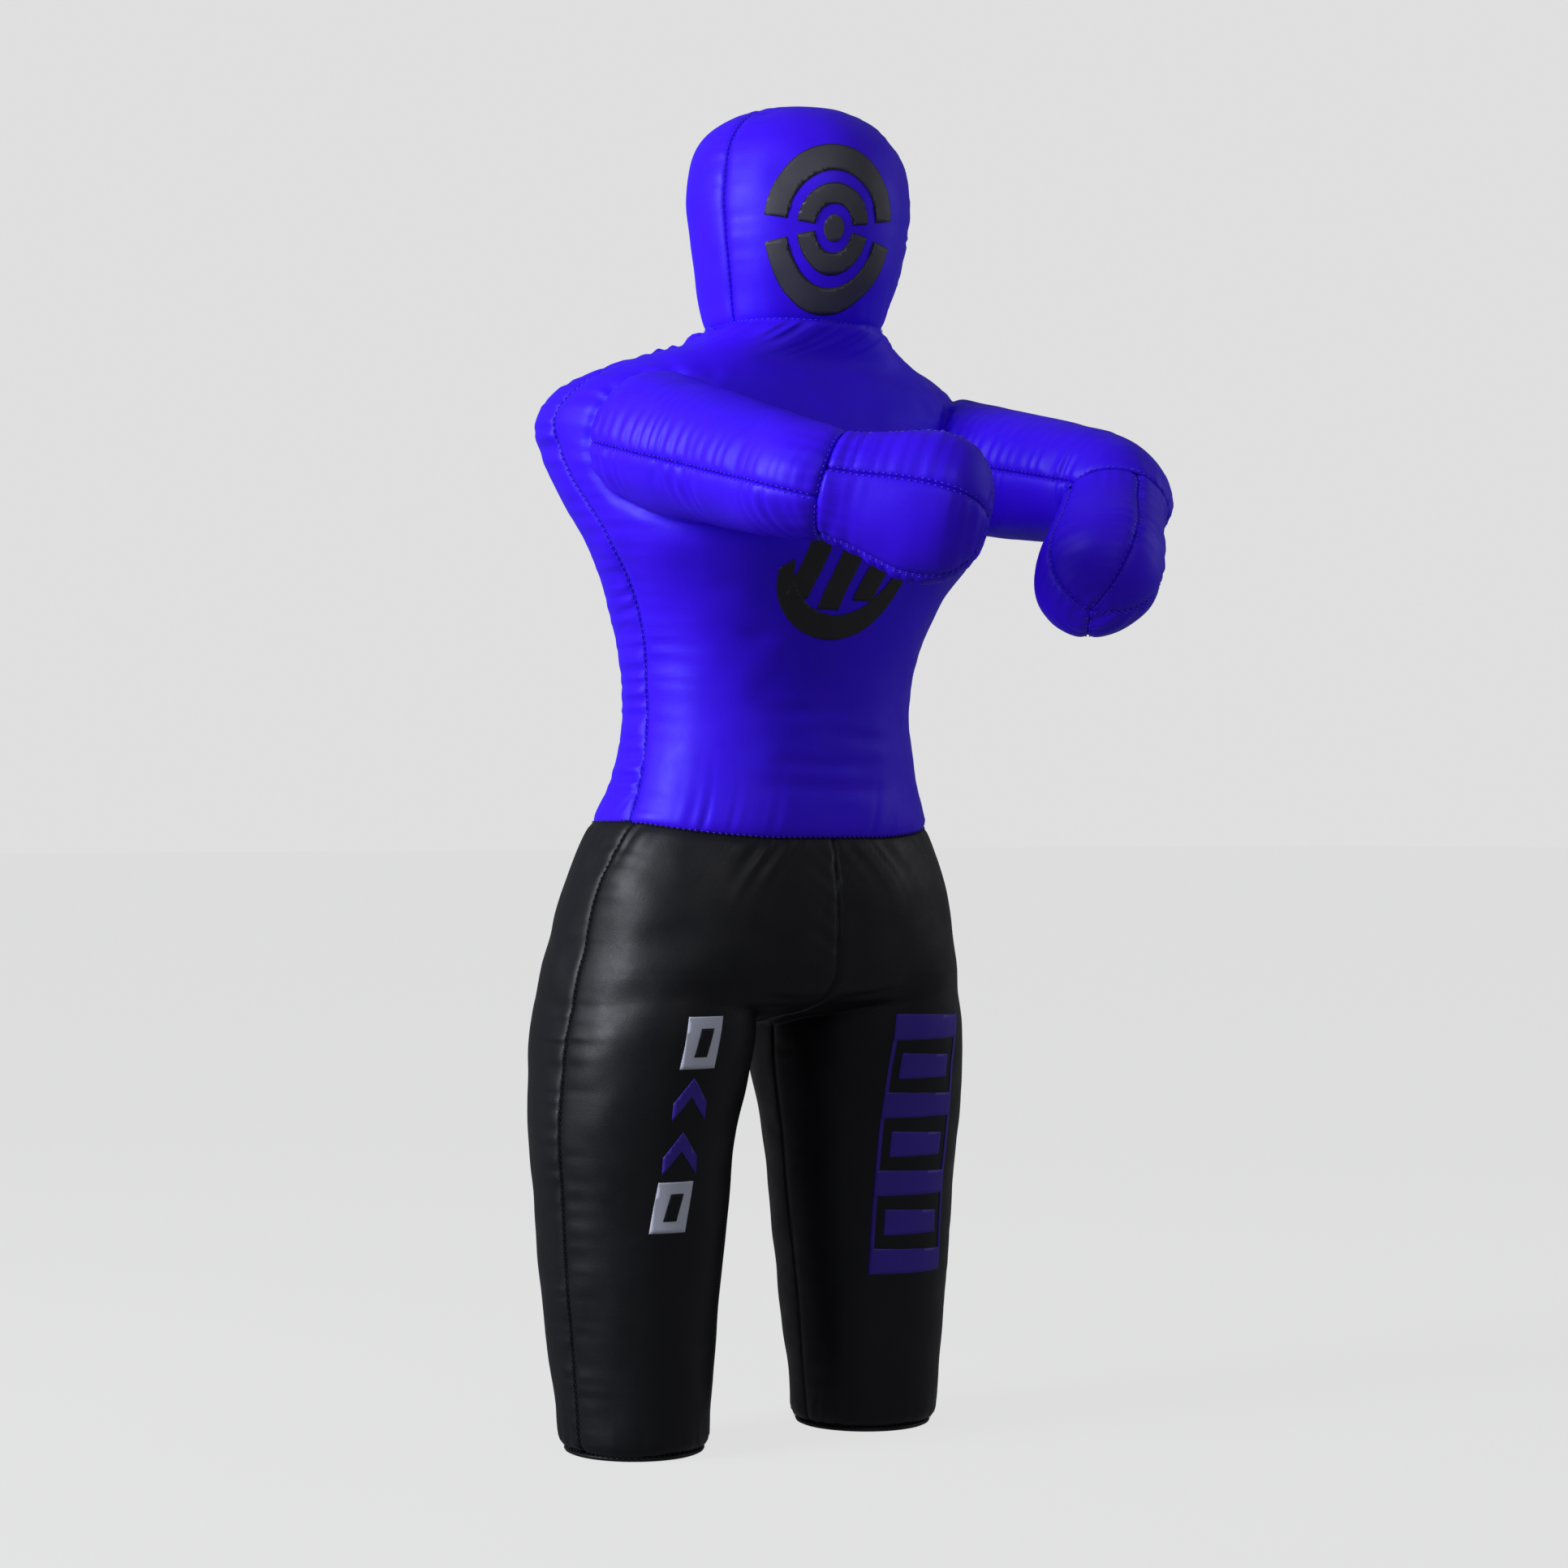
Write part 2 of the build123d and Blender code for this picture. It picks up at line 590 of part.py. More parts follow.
def slider_and_pull(high):
    """The slider at the top of the zip, and the pull that hangs from the bridge on its face."""
    tooth_x, tooth_y, _ = ZIP_TOOTH
    width, deep, tall = ZIP_SLIDER
    middle = high - 5.8 - tall / 2
    back = ZIP_Y + 0.12  # clear of the tapes
    face = back + deep
    slider = Pos(0, back + deep / 2, middle) * Box(width, deep, tall)
    slider = fillet(slider.edges().filter_by(Axis.Y), 2.4)
    slider -= Pos(0, back + tooth_y / 2, middle) * Box(2 * tooth_x + 0.6, tooth_y + 0.7, tall + 2)
    eye = Pos(0, face + 1.6, middle + 1)
    across = Rot(Y=90)
    bridge = Pos(0, face + 1.4, middle + 1) * Box(*ZIP_BRIDGE)
    bridge -= eye * across * Cylinder(ZIP_PIN_R + 0.2, 2 * ZIP_BRIDGE[0])
    px, py, pz = ZIP_PULL
    cheek_x, _, cheek_z = ZIP_CHEEK
    hang = cheek_z - 2 * ZIP_PIN_R  # from the pin's middle to the tab
    pull = eye * across * Cylinder(ZIP_PIN_R, px)
    for side in (-1, 1):
        pull += eye * Pos(side * (px - cheek_x) / 2, 0, ZIP_PIN_R - cheek_z / 2) * Box(*ZIP_CHEEK)
    tab = eye * Pos(0, 0, -hang - pz / 2) * Box(px, py, pz)
    tab = fillet(tab.edges().filter_by(Axis.Y).group_by(Axis.Z)[0], 3.0)
    hole = eye * Pos(0, 0, 7 - hang - pz) * Rot(X=90) * Cylinder(1.6, 6)
    return {"zip_slider": slider + bridge, "zip_pull": pull + (tab - hole)}


def main():
    os.makedirs("parts", exist_ok=True)
    torso_room = body_loft(TORSO, -1)
    nodes = {}
    nodes.update(head())
    nodes.update(torso())
    for name in ("right", "left"):
        nodes.update(arm(name, torso_room))
    nodes.update(trousers())
    nodes.update(zip_fastener())
    for name, shape in nodes.items():
        export_step(shape, f"parts/{name}.step")
        print(name, len(shape.solids()), round(shape.volume / 1000), "cm3")


main()
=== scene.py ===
"""Looks of the grappling dummy: its sewn synthetic-leather cover, stuffing, stitches and printed shapes.

Each cover panel is a grid over the body's form. Its outer relief (seam grooves, puckers, creases and the
lumps of the stuffing) is worked out from the distance to its seams. Metres, +Z up, face towards -Y.
"""

import json
import math

import bmesh
import bpy
import numpy as np
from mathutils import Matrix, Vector, noise
from mathutils.bvhtree import BVHTree


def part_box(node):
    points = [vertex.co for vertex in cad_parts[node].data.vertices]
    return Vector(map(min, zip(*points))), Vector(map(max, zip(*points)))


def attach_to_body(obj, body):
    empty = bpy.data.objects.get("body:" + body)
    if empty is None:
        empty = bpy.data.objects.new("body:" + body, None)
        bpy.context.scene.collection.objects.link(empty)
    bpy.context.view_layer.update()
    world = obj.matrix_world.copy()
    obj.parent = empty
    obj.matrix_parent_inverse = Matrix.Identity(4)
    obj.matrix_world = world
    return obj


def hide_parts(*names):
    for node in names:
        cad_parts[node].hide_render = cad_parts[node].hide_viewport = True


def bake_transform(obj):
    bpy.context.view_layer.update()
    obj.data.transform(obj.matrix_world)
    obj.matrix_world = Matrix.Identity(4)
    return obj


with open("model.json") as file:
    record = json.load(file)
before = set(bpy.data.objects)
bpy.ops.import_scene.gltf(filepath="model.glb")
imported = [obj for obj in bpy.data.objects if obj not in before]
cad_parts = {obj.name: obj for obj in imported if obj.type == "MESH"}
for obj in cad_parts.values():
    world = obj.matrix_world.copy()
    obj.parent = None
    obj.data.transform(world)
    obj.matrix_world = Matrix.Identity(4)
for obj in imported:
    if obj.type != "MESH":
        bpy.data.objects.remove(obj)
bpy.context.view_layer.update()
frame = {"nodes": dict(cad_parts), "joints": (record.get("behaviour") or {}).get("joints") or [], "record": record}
nodes = frame["nodes"]

# ---- the form: sections of the stuffed body, as in the CAD model 
BODY_POWER = 2.4  # superellipse power of the hips and torso
LEG_POWER = 2.1
GRID = 0.0042  # side of one mesh square on a panel
WAIST_DIP = 0.017
TUCK = 0.005  # how far one cover runs in under the next at the neck and the waist
PLUMP = 0.0015  # how far the filled cover stands out of its even form
WAIST_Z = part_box("torso_front_panel")[0][2]
NECK_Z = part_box("head_face_panel")[0][2]
SOLE_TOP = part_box("leg_sole_left")[1][2]
HIP_BLEND = 0.018  # how softly hips and legs flow together
FACE_GORE = 66  # degrees each side of straight ahead
LEG_MIDDLE = 0.147  # x of a leg's middle line
SKIN = 0.0018  # thickness of the cover
INK = 0.0005  # thickness of a printed shape
INK_LIFT = 0.0006  # how far a printed shape stands out of the cover

# z, half width, half depth, middle in Y
TORSO = np.array([
    (0.648, 0.184, 0.133, -0.012),
    (0.674, 0.172, 0.127, -0.018),
    (0.700, 0.164, 0.120, -0.022),
    (0.740, 0.156, 0.117, -0.025),
    (0.777, 0.155, 0.118, -0.026),
    (0.829, 0.161, 0.123, -0.031),
    (0.880, 0.181, 0.134, -0.041),
    (0.929, 0.210, 0.147, -0.054),
    (0.980, 0.232, 0.152, -0.036),
    (1.030, 0.247, 0.156, -0.020),
    (1.065, 0.250, 0.154, -0.014),
    (1.095, 0.226, 0.142, -0.015),
    (1.118, 0.178, 0.118, -0.030),
    (1.136, 0.124, 0.096, -0.056),
    (1.156, 0.090, 0.088, -0.072),
])
HEAD = np.array([
    (1.156, 0.090, 0.088, -0.072),
    (1.181, 0.097, 0.098, -0.074),
    (1.215, 0.105, 0.107, -0.079),
    (1.257, 0.112, 0.114, -0.081),
    (1.295, 0.114, 0.117, -0.081),
    (1.333, 0.107, 0.111, -0.078),
    (1.359, 0.090, 0.094, -0.074),
    (1.376, 0.066, 0.070, -0.071),
    (1.386, 0.038, 0.042, -0.069),
    (1.390, 0.0005, 0.0005, -0.068),
])
PELVIS = np.array([
    (0.443, 0.120, 0.040, 0.006),
    (0.452, 0.186, 0.092, 0.005),
    (0.466, 0.216, 0.130, 0.004),
    (0.490, 0.225, 0.149, 0.002),
    (0.545, 0.220, 0.151, -0.002),
    (0.597, 0.2065, 0.144, -0.008),
    (0.648, 0.184, 0.133, -0.012),
])
# z, middle in X, half width, half depth, middle in Y
LEG = np.array([
    (0.002, 0.147, 0.070, 0.073, 0.004),
    (0.016, 0.148, 0.075, 0.078, 0.004),
    (0.060, 0.148, 0.078, 0.082, 0.005),
    (0.120, 0.149, 0.084, 0.088, 0.008),
    (0.190, 0.149, 0.090, 0.095, 0.009),
    (0.260, 0.148, 0.096, 0.101, 0.009),
    (0.330, 0.146, 0.102, 0.110, 0.009),
    (0.390, 0.140, 0.106, 0.121, 0.008),
    (0.440, 0.135, 0.105, 0.130, 0.006),
    (0.500, 0.130, 0.093, 0.124, 0.003),
    (0.545, 0.124, 0.068, 0.105, 0.000),
])
# the side seam from the leg end to the neck: z, y
SIDE_SEAM = np.array([
    (-0.020, -0.009),
    (0.150, -0.010),
    (0.400, -0.013),
    (0.560, -0.024),
    (0.648, -0.037),
    (0.760, -0.031),
    (0.880, -0.044),
    (0.940, -0.046),
    (1.010, -0.014),
    (1.060, -0.004),
    (1.110, -0.026),
    (1.176, -0.066),
])
# distance from the elbow, half height, half width of the closed arm end
FIST = np.array([
    (0.010, 0.0505, 0.0500),
    (0.032, 0.0525, 0.0510),
    (0.054, 0.0560, 0.0520),
    (0.080, 0.0640, 0.0550),
    (0.110, 0.0710, 0.0585),
    (0.138, 0.0680, 0.0560),
    (0.158, 0.0540, 0.0440),
    (0.170, 0.0330, 0.0270),
    (0.1745, 0.0004, 0.0004),
])
FIST_SEAMS = (-55, 28, 95, 180)  # degrees round the forearm; 0 outside and 90 on top
SHOULDER_R = 0.069  # radius of the upper arm at the shoulder
ARM_END_R = 0.0560  # radius of the upper arm at the elbow
ARM_CAP = 0.062  # how far the sleeve's round end runs on inside the torso
SLEEVE_BLEND = (-0.005, 0.11)  # start and end of the shoulder's bend, from the shoulder along the arm
FOREARM_BLEND = (0.036, 0.100)  # start and end of the elbow's bend, from the elbow along the forearm
FOREARM_IN = {"right": 47.0, "left": 46.0}  # degrees the forearm points inwards
FOREARM_DOWN = {"right": 4.6, "left": 40.0}  # degrees it points down from the upper arm's plane
ELBOW_BEND = 0.034  # length of the elbow's curve each side of the joint
ELBOW_SEAM = 0.85  # share of that curve where the sleeve ends
HEAD_TURN = -11  # degrees the face looks towards the dummy's right
PRINT_TURN = -17  # degrees the middle of the head's printed shape lies round to the right
BLACK = "black_cover"
PALE = (0.74, 0.74, 0.74, 1)  # tone of the background and of the floor's glow
LIGHT_TARGET = (0, 0, 0.8)


def joint(name):
    return next(j for j in frame["joints"] if j["name"] == name)


# ---- curves and surfaces ---------------------------------
def along(table, k):
    """Rows of a table at any fractional row numbers, as a smooth curve through them."""
    k = np.clip(np.asarray(k, float), 0, len(table) - 1)
    i = np.minimum(k.astype(int), len(table) - 2)
    f = (k - i)[..., None]
    padded = np.vstack([2 * table[0] - table[1], table, 2 * table[-1] - table[-2]])
    a, b, c, d = padded[i], padded[i + 1], padded[i + 2], padded[i + 3]
    return 0.5 * (2 * b + (c - a) * f + (2 * a - 5 * b + 4 * c - d) * f**2 + (3 * b - a - 3 * c + d) * f**3)


def at_height(table, z):
    """Rows of a table at any heights, as a smooth curve through them."""
    z = np.asarray(z, float)
    return along(table, np.interp(z, table[:, 0], np.arange(len(table))))


def signed_power(value, power):
    return np.sign(value) * np.abs(value) ** power


def waist_dip(points):
    """Draws the waist seam lower in front, and the cover near it with it."""
    z = points[..., 2]
    front = np.clip(-(points[..., 1] + 0.03) / 0.11, 0, 1)
    drop = WAIST_DIP * front**1.5 * np.exp(-(((z - WAIST_Z) / 0.07) ** 2))
    points[..., 2] = z - drop
    return points


def torso_point(z, angle):
    """Angle in degrees, 0 at the dummy's left and -90 in front."""
    row = at_height(TORSO, z)
    c, s = np.cos(np.radians(angle)), np.sin(np.radians(angle))
    x = row[..., 1] * signed_power(c, 2 / BODY_POWER)
    y = row[..., 3] + row[..., 2] * signed_power(s, 2 / BODY_POWER)
    return waist_dip(np.stack([x, y, z + 0 * x], -1))


def torso_seam_angle(z):
    row = at_height(TORSO, z)
    seam_y = at_height(SIDE_SEAM, z)[..., 1]
    return np.degrees(np.arcsin(signed_power((seam_y - row[..., 3]) / row[..., 2], BODY_POWER / 2)))


def head_point(k, angle):
    """k is the row number in HEAD, angle in degrees from straight ahead towards the left."""
    row = along(HEAD, k)
    c, s = np.sin(np.radians(angle)), -np.cos(np.radians(angle))
    return np.stack([row[..., 1] * c, row[..., 3] + row[..., 2] * s, row[..., 0]], -1)


def outside_section(dx, dy, w, d, power):
    """Roughly how far outside a superellipse a point is, for half width w and half depth d."""
    return ((np.abs(dx / w) ** power + np.abs(dy / d) ** power) ** (1 / power) - 1) * np.minimum(w, d)


def trouser_outside(x, y, z):
    """Roughly how far outside the trousers a point is, on the left side."""
    hips, leg = at_height(PELVIS, z), at_height(LEG, z)
    a = outside_section(x, y - hips[..., 3], hips[..., 1], hips[..., 2], BODY_POWER)
    a = a + np.where(z < PELVIS[0, 0], (PELVIS[0, 0] - z) * 4, 0)
    b = outside_section(x - leg[..., 1], y - leg[..., 4], leg[..., 2], leg[..., 3], LEG_POWER)
    b = b + np.where(z > LEG[-1, 0], (z - LEG[-1, 0]) * 1.0, 0)
    gap = np.maximum(HIP_BLEND - np.abs(a - b), 0) / HIP_BLEND
    return np.minimum(a, b) - gap**2 * HIP_BLEND / 4


def trouser_point(z, angle):
    """On the left side, by a level line from the leg's middle; 0 outwards, -90 in front."""
    leg = at_height(LEG, z)
    c, s = np.cos(np.radians(angle)), np.sin(np.radians(angle))
    near, far = 0.005 + 0 * c, 0.32 + 0 * c
    for _ in range(26):
        half = (near + far) / 2
        out = trouser_outside(leg[..., 1] + c * half, leg[..., 4] + s * half, z) > 0
        far = np.where(out, half, far)
        near = np.where(out, near, half)
    return waist_dip(np.stack([leg[..., 1] + c * near, leg[..., 4] + s * near, z + 0 * c], -1))


def trouser_ends(z, turn):
    """The angles of the side seam and of the middle seam at heights, in front (-1) or behind (1)."""
    leg = at_height(LEG, z)
    reach = trouser_point(z, 0 * z)[..., 0] - leg[..., 1]
    start = np.degrees(np.arcsin((at_height(SIDE_SEAM, z)[..., 1] - leg[..., 4]) / reach))
    low, high = 90 + 0 * z, 180 + 0 * z
    for _ in range(22):
        half = (low + high) / 2
        clear = trouser_point(z, turn * half)[..., 0] > 0
        low, high = np.where(clear, half, low), np.where(clear, high, half)
    return start, turn * low


# ---- relief ----------------------------------------------
def noise_at(points, size, seed):
    """Smooth noise from -1 to 1, with lumps of about one size."""
    flat = points.reshape(-1, 3) / size + seed
    return np.array([noise.noise(Vector(p)) for p in flat]).reshape(points.shape[:-1])


def lumps(points):
    """How far the stuffing pushes the cover out of its even form."""
    return 0.0030 * noise_at(points, 0.10, 3.1) + 0.0010 * noise_at(points, 0.035, 7.7)


def wave(s, length, seed):
    """An uneven row of gathers along a seam, from -1 to 1."""
    wander = np.interp(s, np.arange(-2, 4, 0.013), uneven(462, seed))
    size = np.interp(s, np.arange(-2, 4, 0.041), uneven(147, seed + 5))
    return np.sin(2 * np.pi * s / length + 2.6 * wander) * np.clip(0.55 + 0.8 * size, 0, 1.2)


def uneven(count, seed):
    return np.random.default_rng(seed).uniform(-1, 1, count)


class Seam:
    """One edge of a panel: its groove, the gathers that run from it, and its stitches."""

    def __init__(self, groove, wide, gather, pitch, reach, seed, stitch=True):
        self.groove, self.wide, self.gather = groove, wide, gather
        self.pitch, self.reach, self.seed, self.stitch = pitch, reach, seed, stitch

    def relief(self, away, s):
        height = -self.groove * np.exp(-((away / self.wide) ** 1.25))
        x = away / self.reach
        return height + self.gather * x * np.exp(1 - x) * wave(s, self.pitch, self.seed)


def lengths(points, axis):
    """Length along a grid's rows or columns, from their start."""
    step = np.linalg.norm(np.diff(points, axis=axis), axis=-1)
    pad = [(0, 0), (0, 0)]
    pad[axis] = (1, 0)
    return np.cumsum(np.pad(step, pad), axis=axis)


def normals(points):
    """Outward normals of a grid whose rows climb and whose columns turn."""
    n = np.cross(np.gradient(points, axis=1), np.gradient(points, axis=0))
    return n / np.maximum(np.linalg.norm(n, axis=-1, keepdims=True), 1e-12)


# ---- meshes ----------------------------------------------
COVER_MESHES = {}  # points and faces of each cover panel, for tucking the stuffing in under them


def placed(name, data):
    """A new object in the scene that holds the data."""
    obj = bpy.data.objects.new(name, data)
    bpy.context.scene.collection.objects.link(obj)
    return obj


def new_mesh(name, verts, faces, material):
    mesh = bpy.data.meshes.new(name)
    mesh.from_pydata([tuple(v) for v in verts], [], faces)
    mesh.validate()
    mesh.update()
    mesh.shade_smooth()
    mesh.materials.append(material)
    return placed(name, mesh)


def grid_faces(rows, cols, flip):
    faces = []
    for i in range(rows - 1):
        for j in range(cols - 1):
            a = i * cols + j
            quad = (a, a + 1, a + cols + 1, a + cols)
            faces.append(quad[::-1] if flip else quad)
    return faces


def attach(obj, rule):
    """Rides one body; a piece under a blend rule is left unparented, with its place baked into its mesh."""
    if rule[0] == "ride":
        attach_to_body(obj, rule[1])
    else:
        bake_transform(obj)


def panel(name, points, edges, rule, material, extra, inside, covers, slot="blue_cover"):
    """One cover panel. edges holds Seams by low, high, first and last; inside is a place in the body."""
    n = normals(points)
    middle = (points.shape[0] // 2, points.shape[1] // 2)
    flip = np.dot(n[middle], points[middle] - inside) < 0
    if flip:
        n = -n
    rows, cols = lengths(points, 0), lengths(points, 1)
    height = lumps(points) + PLUMP
    sides = (
        ("low", rows, cols),
        ("high", rows[-1:] - rows, cols),
        ("first", cols, rows),
        ("last", cols[:, -1:] - cols, rows),
    )
    for edge, away, s in sides:
        if edges.get(edge):
            height = height + edges[edge].relief(away, s)
    if extra is not None:
        height = height + extra(points)
    out = points + n * height[..., None]
    faces = grid_faces(*points.shape[:2], flip)
    obj = new_mesh(f"{name}_skin", out.reshape(-1, 3), faces, material)
    COVER_MESHES[name] = (out.reshape(-1, 3), faces)
    thick = obj.modifiers.new("skin", "SOLIDIFY")
    thick.thickness = SKIN
    thick.offset = -1
    attach(obj, rule)
    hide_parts(*covers)
    strips = {
        "low": (out[0], out[1], n[0]),
        "high": (out[-1], out[-2], n[-1]),
        "first": (out[:, 0], out[:, 1], n[:, 0]),
        "last": (out[:, -1], out[:, -2], n[:, -1]),
    }
    for edge, (path, inner, up) in strips.items():
        if edges.get(edge) and edges[edge].stitch:
            stitches(f"{name}_{edge}_stitches", path, inner, up, rule, slot)


def stitches(name, path, inner, up, rule, slot_name):
    """A row of short threads beside a seam."""
    pitch, long, wide, tall = 0.0062, 0.0034, 0.00055, 0.00065
    from_seam, above = 0.0022, 0.0009
    inward = inner - path
    inward /= np.maximum(np.linalg.norm(inward, axis=-1, keepdims=True), 1e-9)
    line = path + inward * from_seam + up * above
    run = np.concatenate([[0], np.cumsum(np.linalg.norm(np.diff(line, axis=0), axis=-1))])
    verts, faces = [], []
    for s in np.arange(pitch, run[-1] - pitch, pitch):
        ends = [[np.interp(s + h * long / 2, run, line[:, c]) for c in range(3)] for h in (-1, 0, 1)]
        low, mid, high = (np.array(p) for p in ends)
        u = np.array([np.interp(s, run, up[:, c]) for c in range(3)])
        side = np.cross(high - low, u)
        side /= max(np.linalg.norm(side), 1e-9)
        base = len(verts)
        verts += [low, mid + side * wide, high, mid - side * wide, mid + u * tall, mid - u * tall]
        for a, b in ((0, 1), (1, 2), (2, 3), (3, 0)):
            faces += [(base + a, base + b, base + 4), (base + b, base + a, base + 5)]
    if not faces:
        return
    obj = new_mesh(name, verts, faces, MATERIALS["thread_" + slot_name])
    attach(obj, rule)


# ---- materials -------------------------------------------
def linear(r, g, b):
    """An 8-bit sRGB colour as linear values."""
    values = [v / 255 for v in (r, g, b)]
    return tuple(v / 12.92 if v <= 0.04045 else ((v + 0.055) / 1.055) ** 2.4 for v in values) + (1.0,)


def blank(name, roughness, specular=0.5):
    material = bpy.data.materials.new(name)
    material.use_nodes = True
    shader = material.node_tree.nodes["Principled BSDF"]
    shader.inputs["Roughness"].default_value = roughness
    shader.inputs["Specular IOR Level"].default_value = specular
    return material, material.node_tree, shader


def texture(tree, kind, **values):
    """A texture node in the object's own space."""
    place = tree.nodes.new("ShaderNodeTexCoord")
    node = tree.nodes.new(kind)
    for socket, value in values.items():
        node.inputs[socket].default_value = value
    tree.links.new(place.outputs["Object"], node.inputs["Vector"])
    return node


def noise_node(tree, scale, detail, rough=0.55):
    return texture(tree, "ShaderNodeTexNoise", Scale=scale, Detail=detail, Roughness=rough)


def bump(tree, height, strength, distance):
    node = tree.nodes.new("ShaderNodeBump")
    node.inputs["Strength"].default_value = strength
    node.inputs["Distance"].default_value = distance
    tree.links.new(height, node.inputs["Height"])
    return node


def ramp(tree, source, low, high):
    """Noise, which mostly lies from 0.3 to 0.7, spread from low to high."""
    node = tree.nodes.new("ShaderNodeMapRange")
    node.inputs["From Min"].default_value = 0.3
    node.inputs["From Max"].default_value = 0.7
    node.inputs["To Min"].default_value = low
    node.inputs["To Max"].default_value = high
    tree.links.new(source, node.inputs["Value"])
    return node.outputs["Result"]


def mix(tree, share, a, b):
    """A mix of two 8-bit colours."""
    node = tree.nodes.new("ShaderNodeMix")
    node.data_type = "RGBA"
    tree.links.new(share, node.inputs["Factor"])
    node.inputs["A"].default_value = linear(*a)
    node.inputs["B"].default_value = linear(*b)
    return node.outputs["Result"]


def leather(name, light, dark, roughness, grain=0.10, specular=0.5):
    """Matt synthetic leather: fine pores, faint drifting colour, and uneven polish."""
    material, tree, shader = blank(name, roughness, specular)
    drift = noise_node(tree, 9.0, 5.0)
    colour = mix(tree, ramp(tree, drift.outputs["Fac"], 0, 1), light, dark)
    tree.links.new(colour, shader.inputs["Base Color"])
    polish = noise_node(tree, 38.0, 6.0)
    rough = ramp(tree, polish.outputs["Fac"], roughness - 0.05, roughness + 0.07)
    tree.links.new(rough, shader.inputs["Roughness"])
    pores = texture(tree, "ShaderNodeTexVoronoi", Scale=780.0)
    pores.feature = "SMOOTH_F1"
    fine = bump(tree, pores.outputs["Distance"], grain, 0.0006)
    creases = noise_node(tree, 120.0, 3.0, 0.6)
    coarse = bump(tree, creases.outputs["Fac"], 0.10, 0.0012)
    tree.links.new(fine.outputs["Normal"], coarse.inputs["Normal"])
    tree.links.new(coarse.outputs["Normal"], shader.inputs["Normal"])
    return material


def weave(name, light, dark, scale, roughness=0.9):
    """Woven or fibrous cloth."""
    material, tree, shader = blank(name, roughness, 0.2)
    threads = texture(tree, "ShaderNodeTexWave", Scale=scale, Distortion=2.5, Detail=3.0)
    tree.links.new(mix(tree, threads.outputs["Fac"], dark, light), shader.inputs["Base Color"])
    ridges = bump(tree, threads.outputs["Fac"], 0.4, 0.0006)
    tree.links.new(ridges.outputs["Normal"], shader.inputs["Normal"])
    return material


def metal(name, colour, roughness):
    material, tree, shader = blank(name, roughness)
    shader.inputs["Metallic"].default_value = 1.0
    shader.inputs["Base Color"].default_value = colour
    wear = noise_node(tree, 900.0, 4.0)
    rough = ramp(tree, wear.outputs["Fac"], roughness - 0.08, roughness + 0.15)
    tree.links.new(rough, shader.inputs["Roughness"])
    scratches = bump(tree, wear.outputs["Fac"], 0.06, 0.0003)
    tree.links.new(scratches.outputs["Normal"], shader.inputs["Normal"])
    return material


def make_materials():
    return {
        "blue": leather("blue_leather", (64, 14, 252), (54, 9, 238), 0.48, 0.10, 0.20),
        "black": leather("black_leather", (17, 18, 23), (11, 12, 16), 0.46, 0.12, 0.30),
        "thread_blue_cover": weave("blue_thread", (120, 104, 240), (70, 50, 200), 1500.0, 0.7),
        "thread_black_cover": weave("black_thread", (60, 62, 72), (24, 24, 30), 1500.0, 0.7),
        "print_grey": leather("grey_print", (66, 66, 76), (52, 52, 62), 0.5, 0.06),
        "print_edge": leather("print_edge", (34, 32, 30), (26, 25, 24), 0.5, 0.06),
        "print_white": leather("white_print", (198, 202, 216), (186, 190, 205), 0.5, 0.06),
        "print_purple": leather("purple_print", (52, 22, 158), (42, 14, 140), 0.5, 0.06),
        "stuffing": weave("rag_stuffing", (188, 184, 176), (120, 116, 110), 260.0),
        "tape": weave("zip_tape_weave", (38, 22, 120), (22, 12, 80), 900.0),
        "metal": metal("zip_metal", (0.56, 0.55, 0.53, 1), 0.34),
    }


MATERIALS = make_materials()

# ---- head ------------------------------------------------
HEAD_RULE = ("blend", "neck", "head", (0, -0.072, NECK_Z), (0, -0.078, NECK_Z + 0.085))


def head():
    """Three gores that meet at the crown."""
    gores = {
        "head_face_panel": (HEAD_TURN - FACE_GORE, HEAD_TURN + FACE_GORE),
        "head_side_panel_left": (HEAD_TURN + FACE_GORE, HEAD_TURN + 180),
        "head_side_panel_right": (HEAD_TURN - 180, HEAD_TURN - FACE_GORE),
    }
    k = np.linspace(0, len(HEAD) - 1.02, 84)
    for i, (name, (start, end)) in enumerate(gores.items()):
        cols = int((end - start) / 360 * 0.70 / GRID)
        kk, aa = np.meshgrid(k, np.linspace(start, end, cols), indexing="ij")
        side = Seam(0.0030, 0.0040, gather=0.0007, pitch=0.017, reach=0.010, seed=20 + i)
        edges = {
            "low": Seam(0.0040, 0.0050, gather=0.0008, pitch=0.022, reach=0.012, seed=30 + i),
            "first": side,
            "last": side,
        }
        covers = (name, "head_stuffing") if i == 0 else (name,)
        middle = np.array([0, -0.075, 1.27])
        panel(name, head_point(kk, aa), edges, HEAD_RULE, MATERIALS["blue"], None, middle, covers)


# ---- torso -----------------------------------------------
TORSO_RULE = ("blend", "pelvis", "torso", (0, -0.02, WAIST_Z), (0, -0.02, WAIST_Z + 0.15))


def crease(points, start, end, depth, wide, bow=0.0):
    """A soft fold line between two points, deepest in its middle."""
    a, b = np.array(start), np.array(end)
    run = b - a
    t = np.clip(((points - a) @ run) / (run @ run), 0, 1)
    off = points - (a + t[..., None] * run)
    off[..., 2] += bow * np.sin(np.pi * t)
    d = np.linalg.norm(off, axis=-1)
    fold = np.exp(-((d / wide) ** 2)) - 0.45 * np.exp(-((d / wide / 2) ** 2))
    return -depth * np.sin(np.pi * t) ** 0.7 * fold


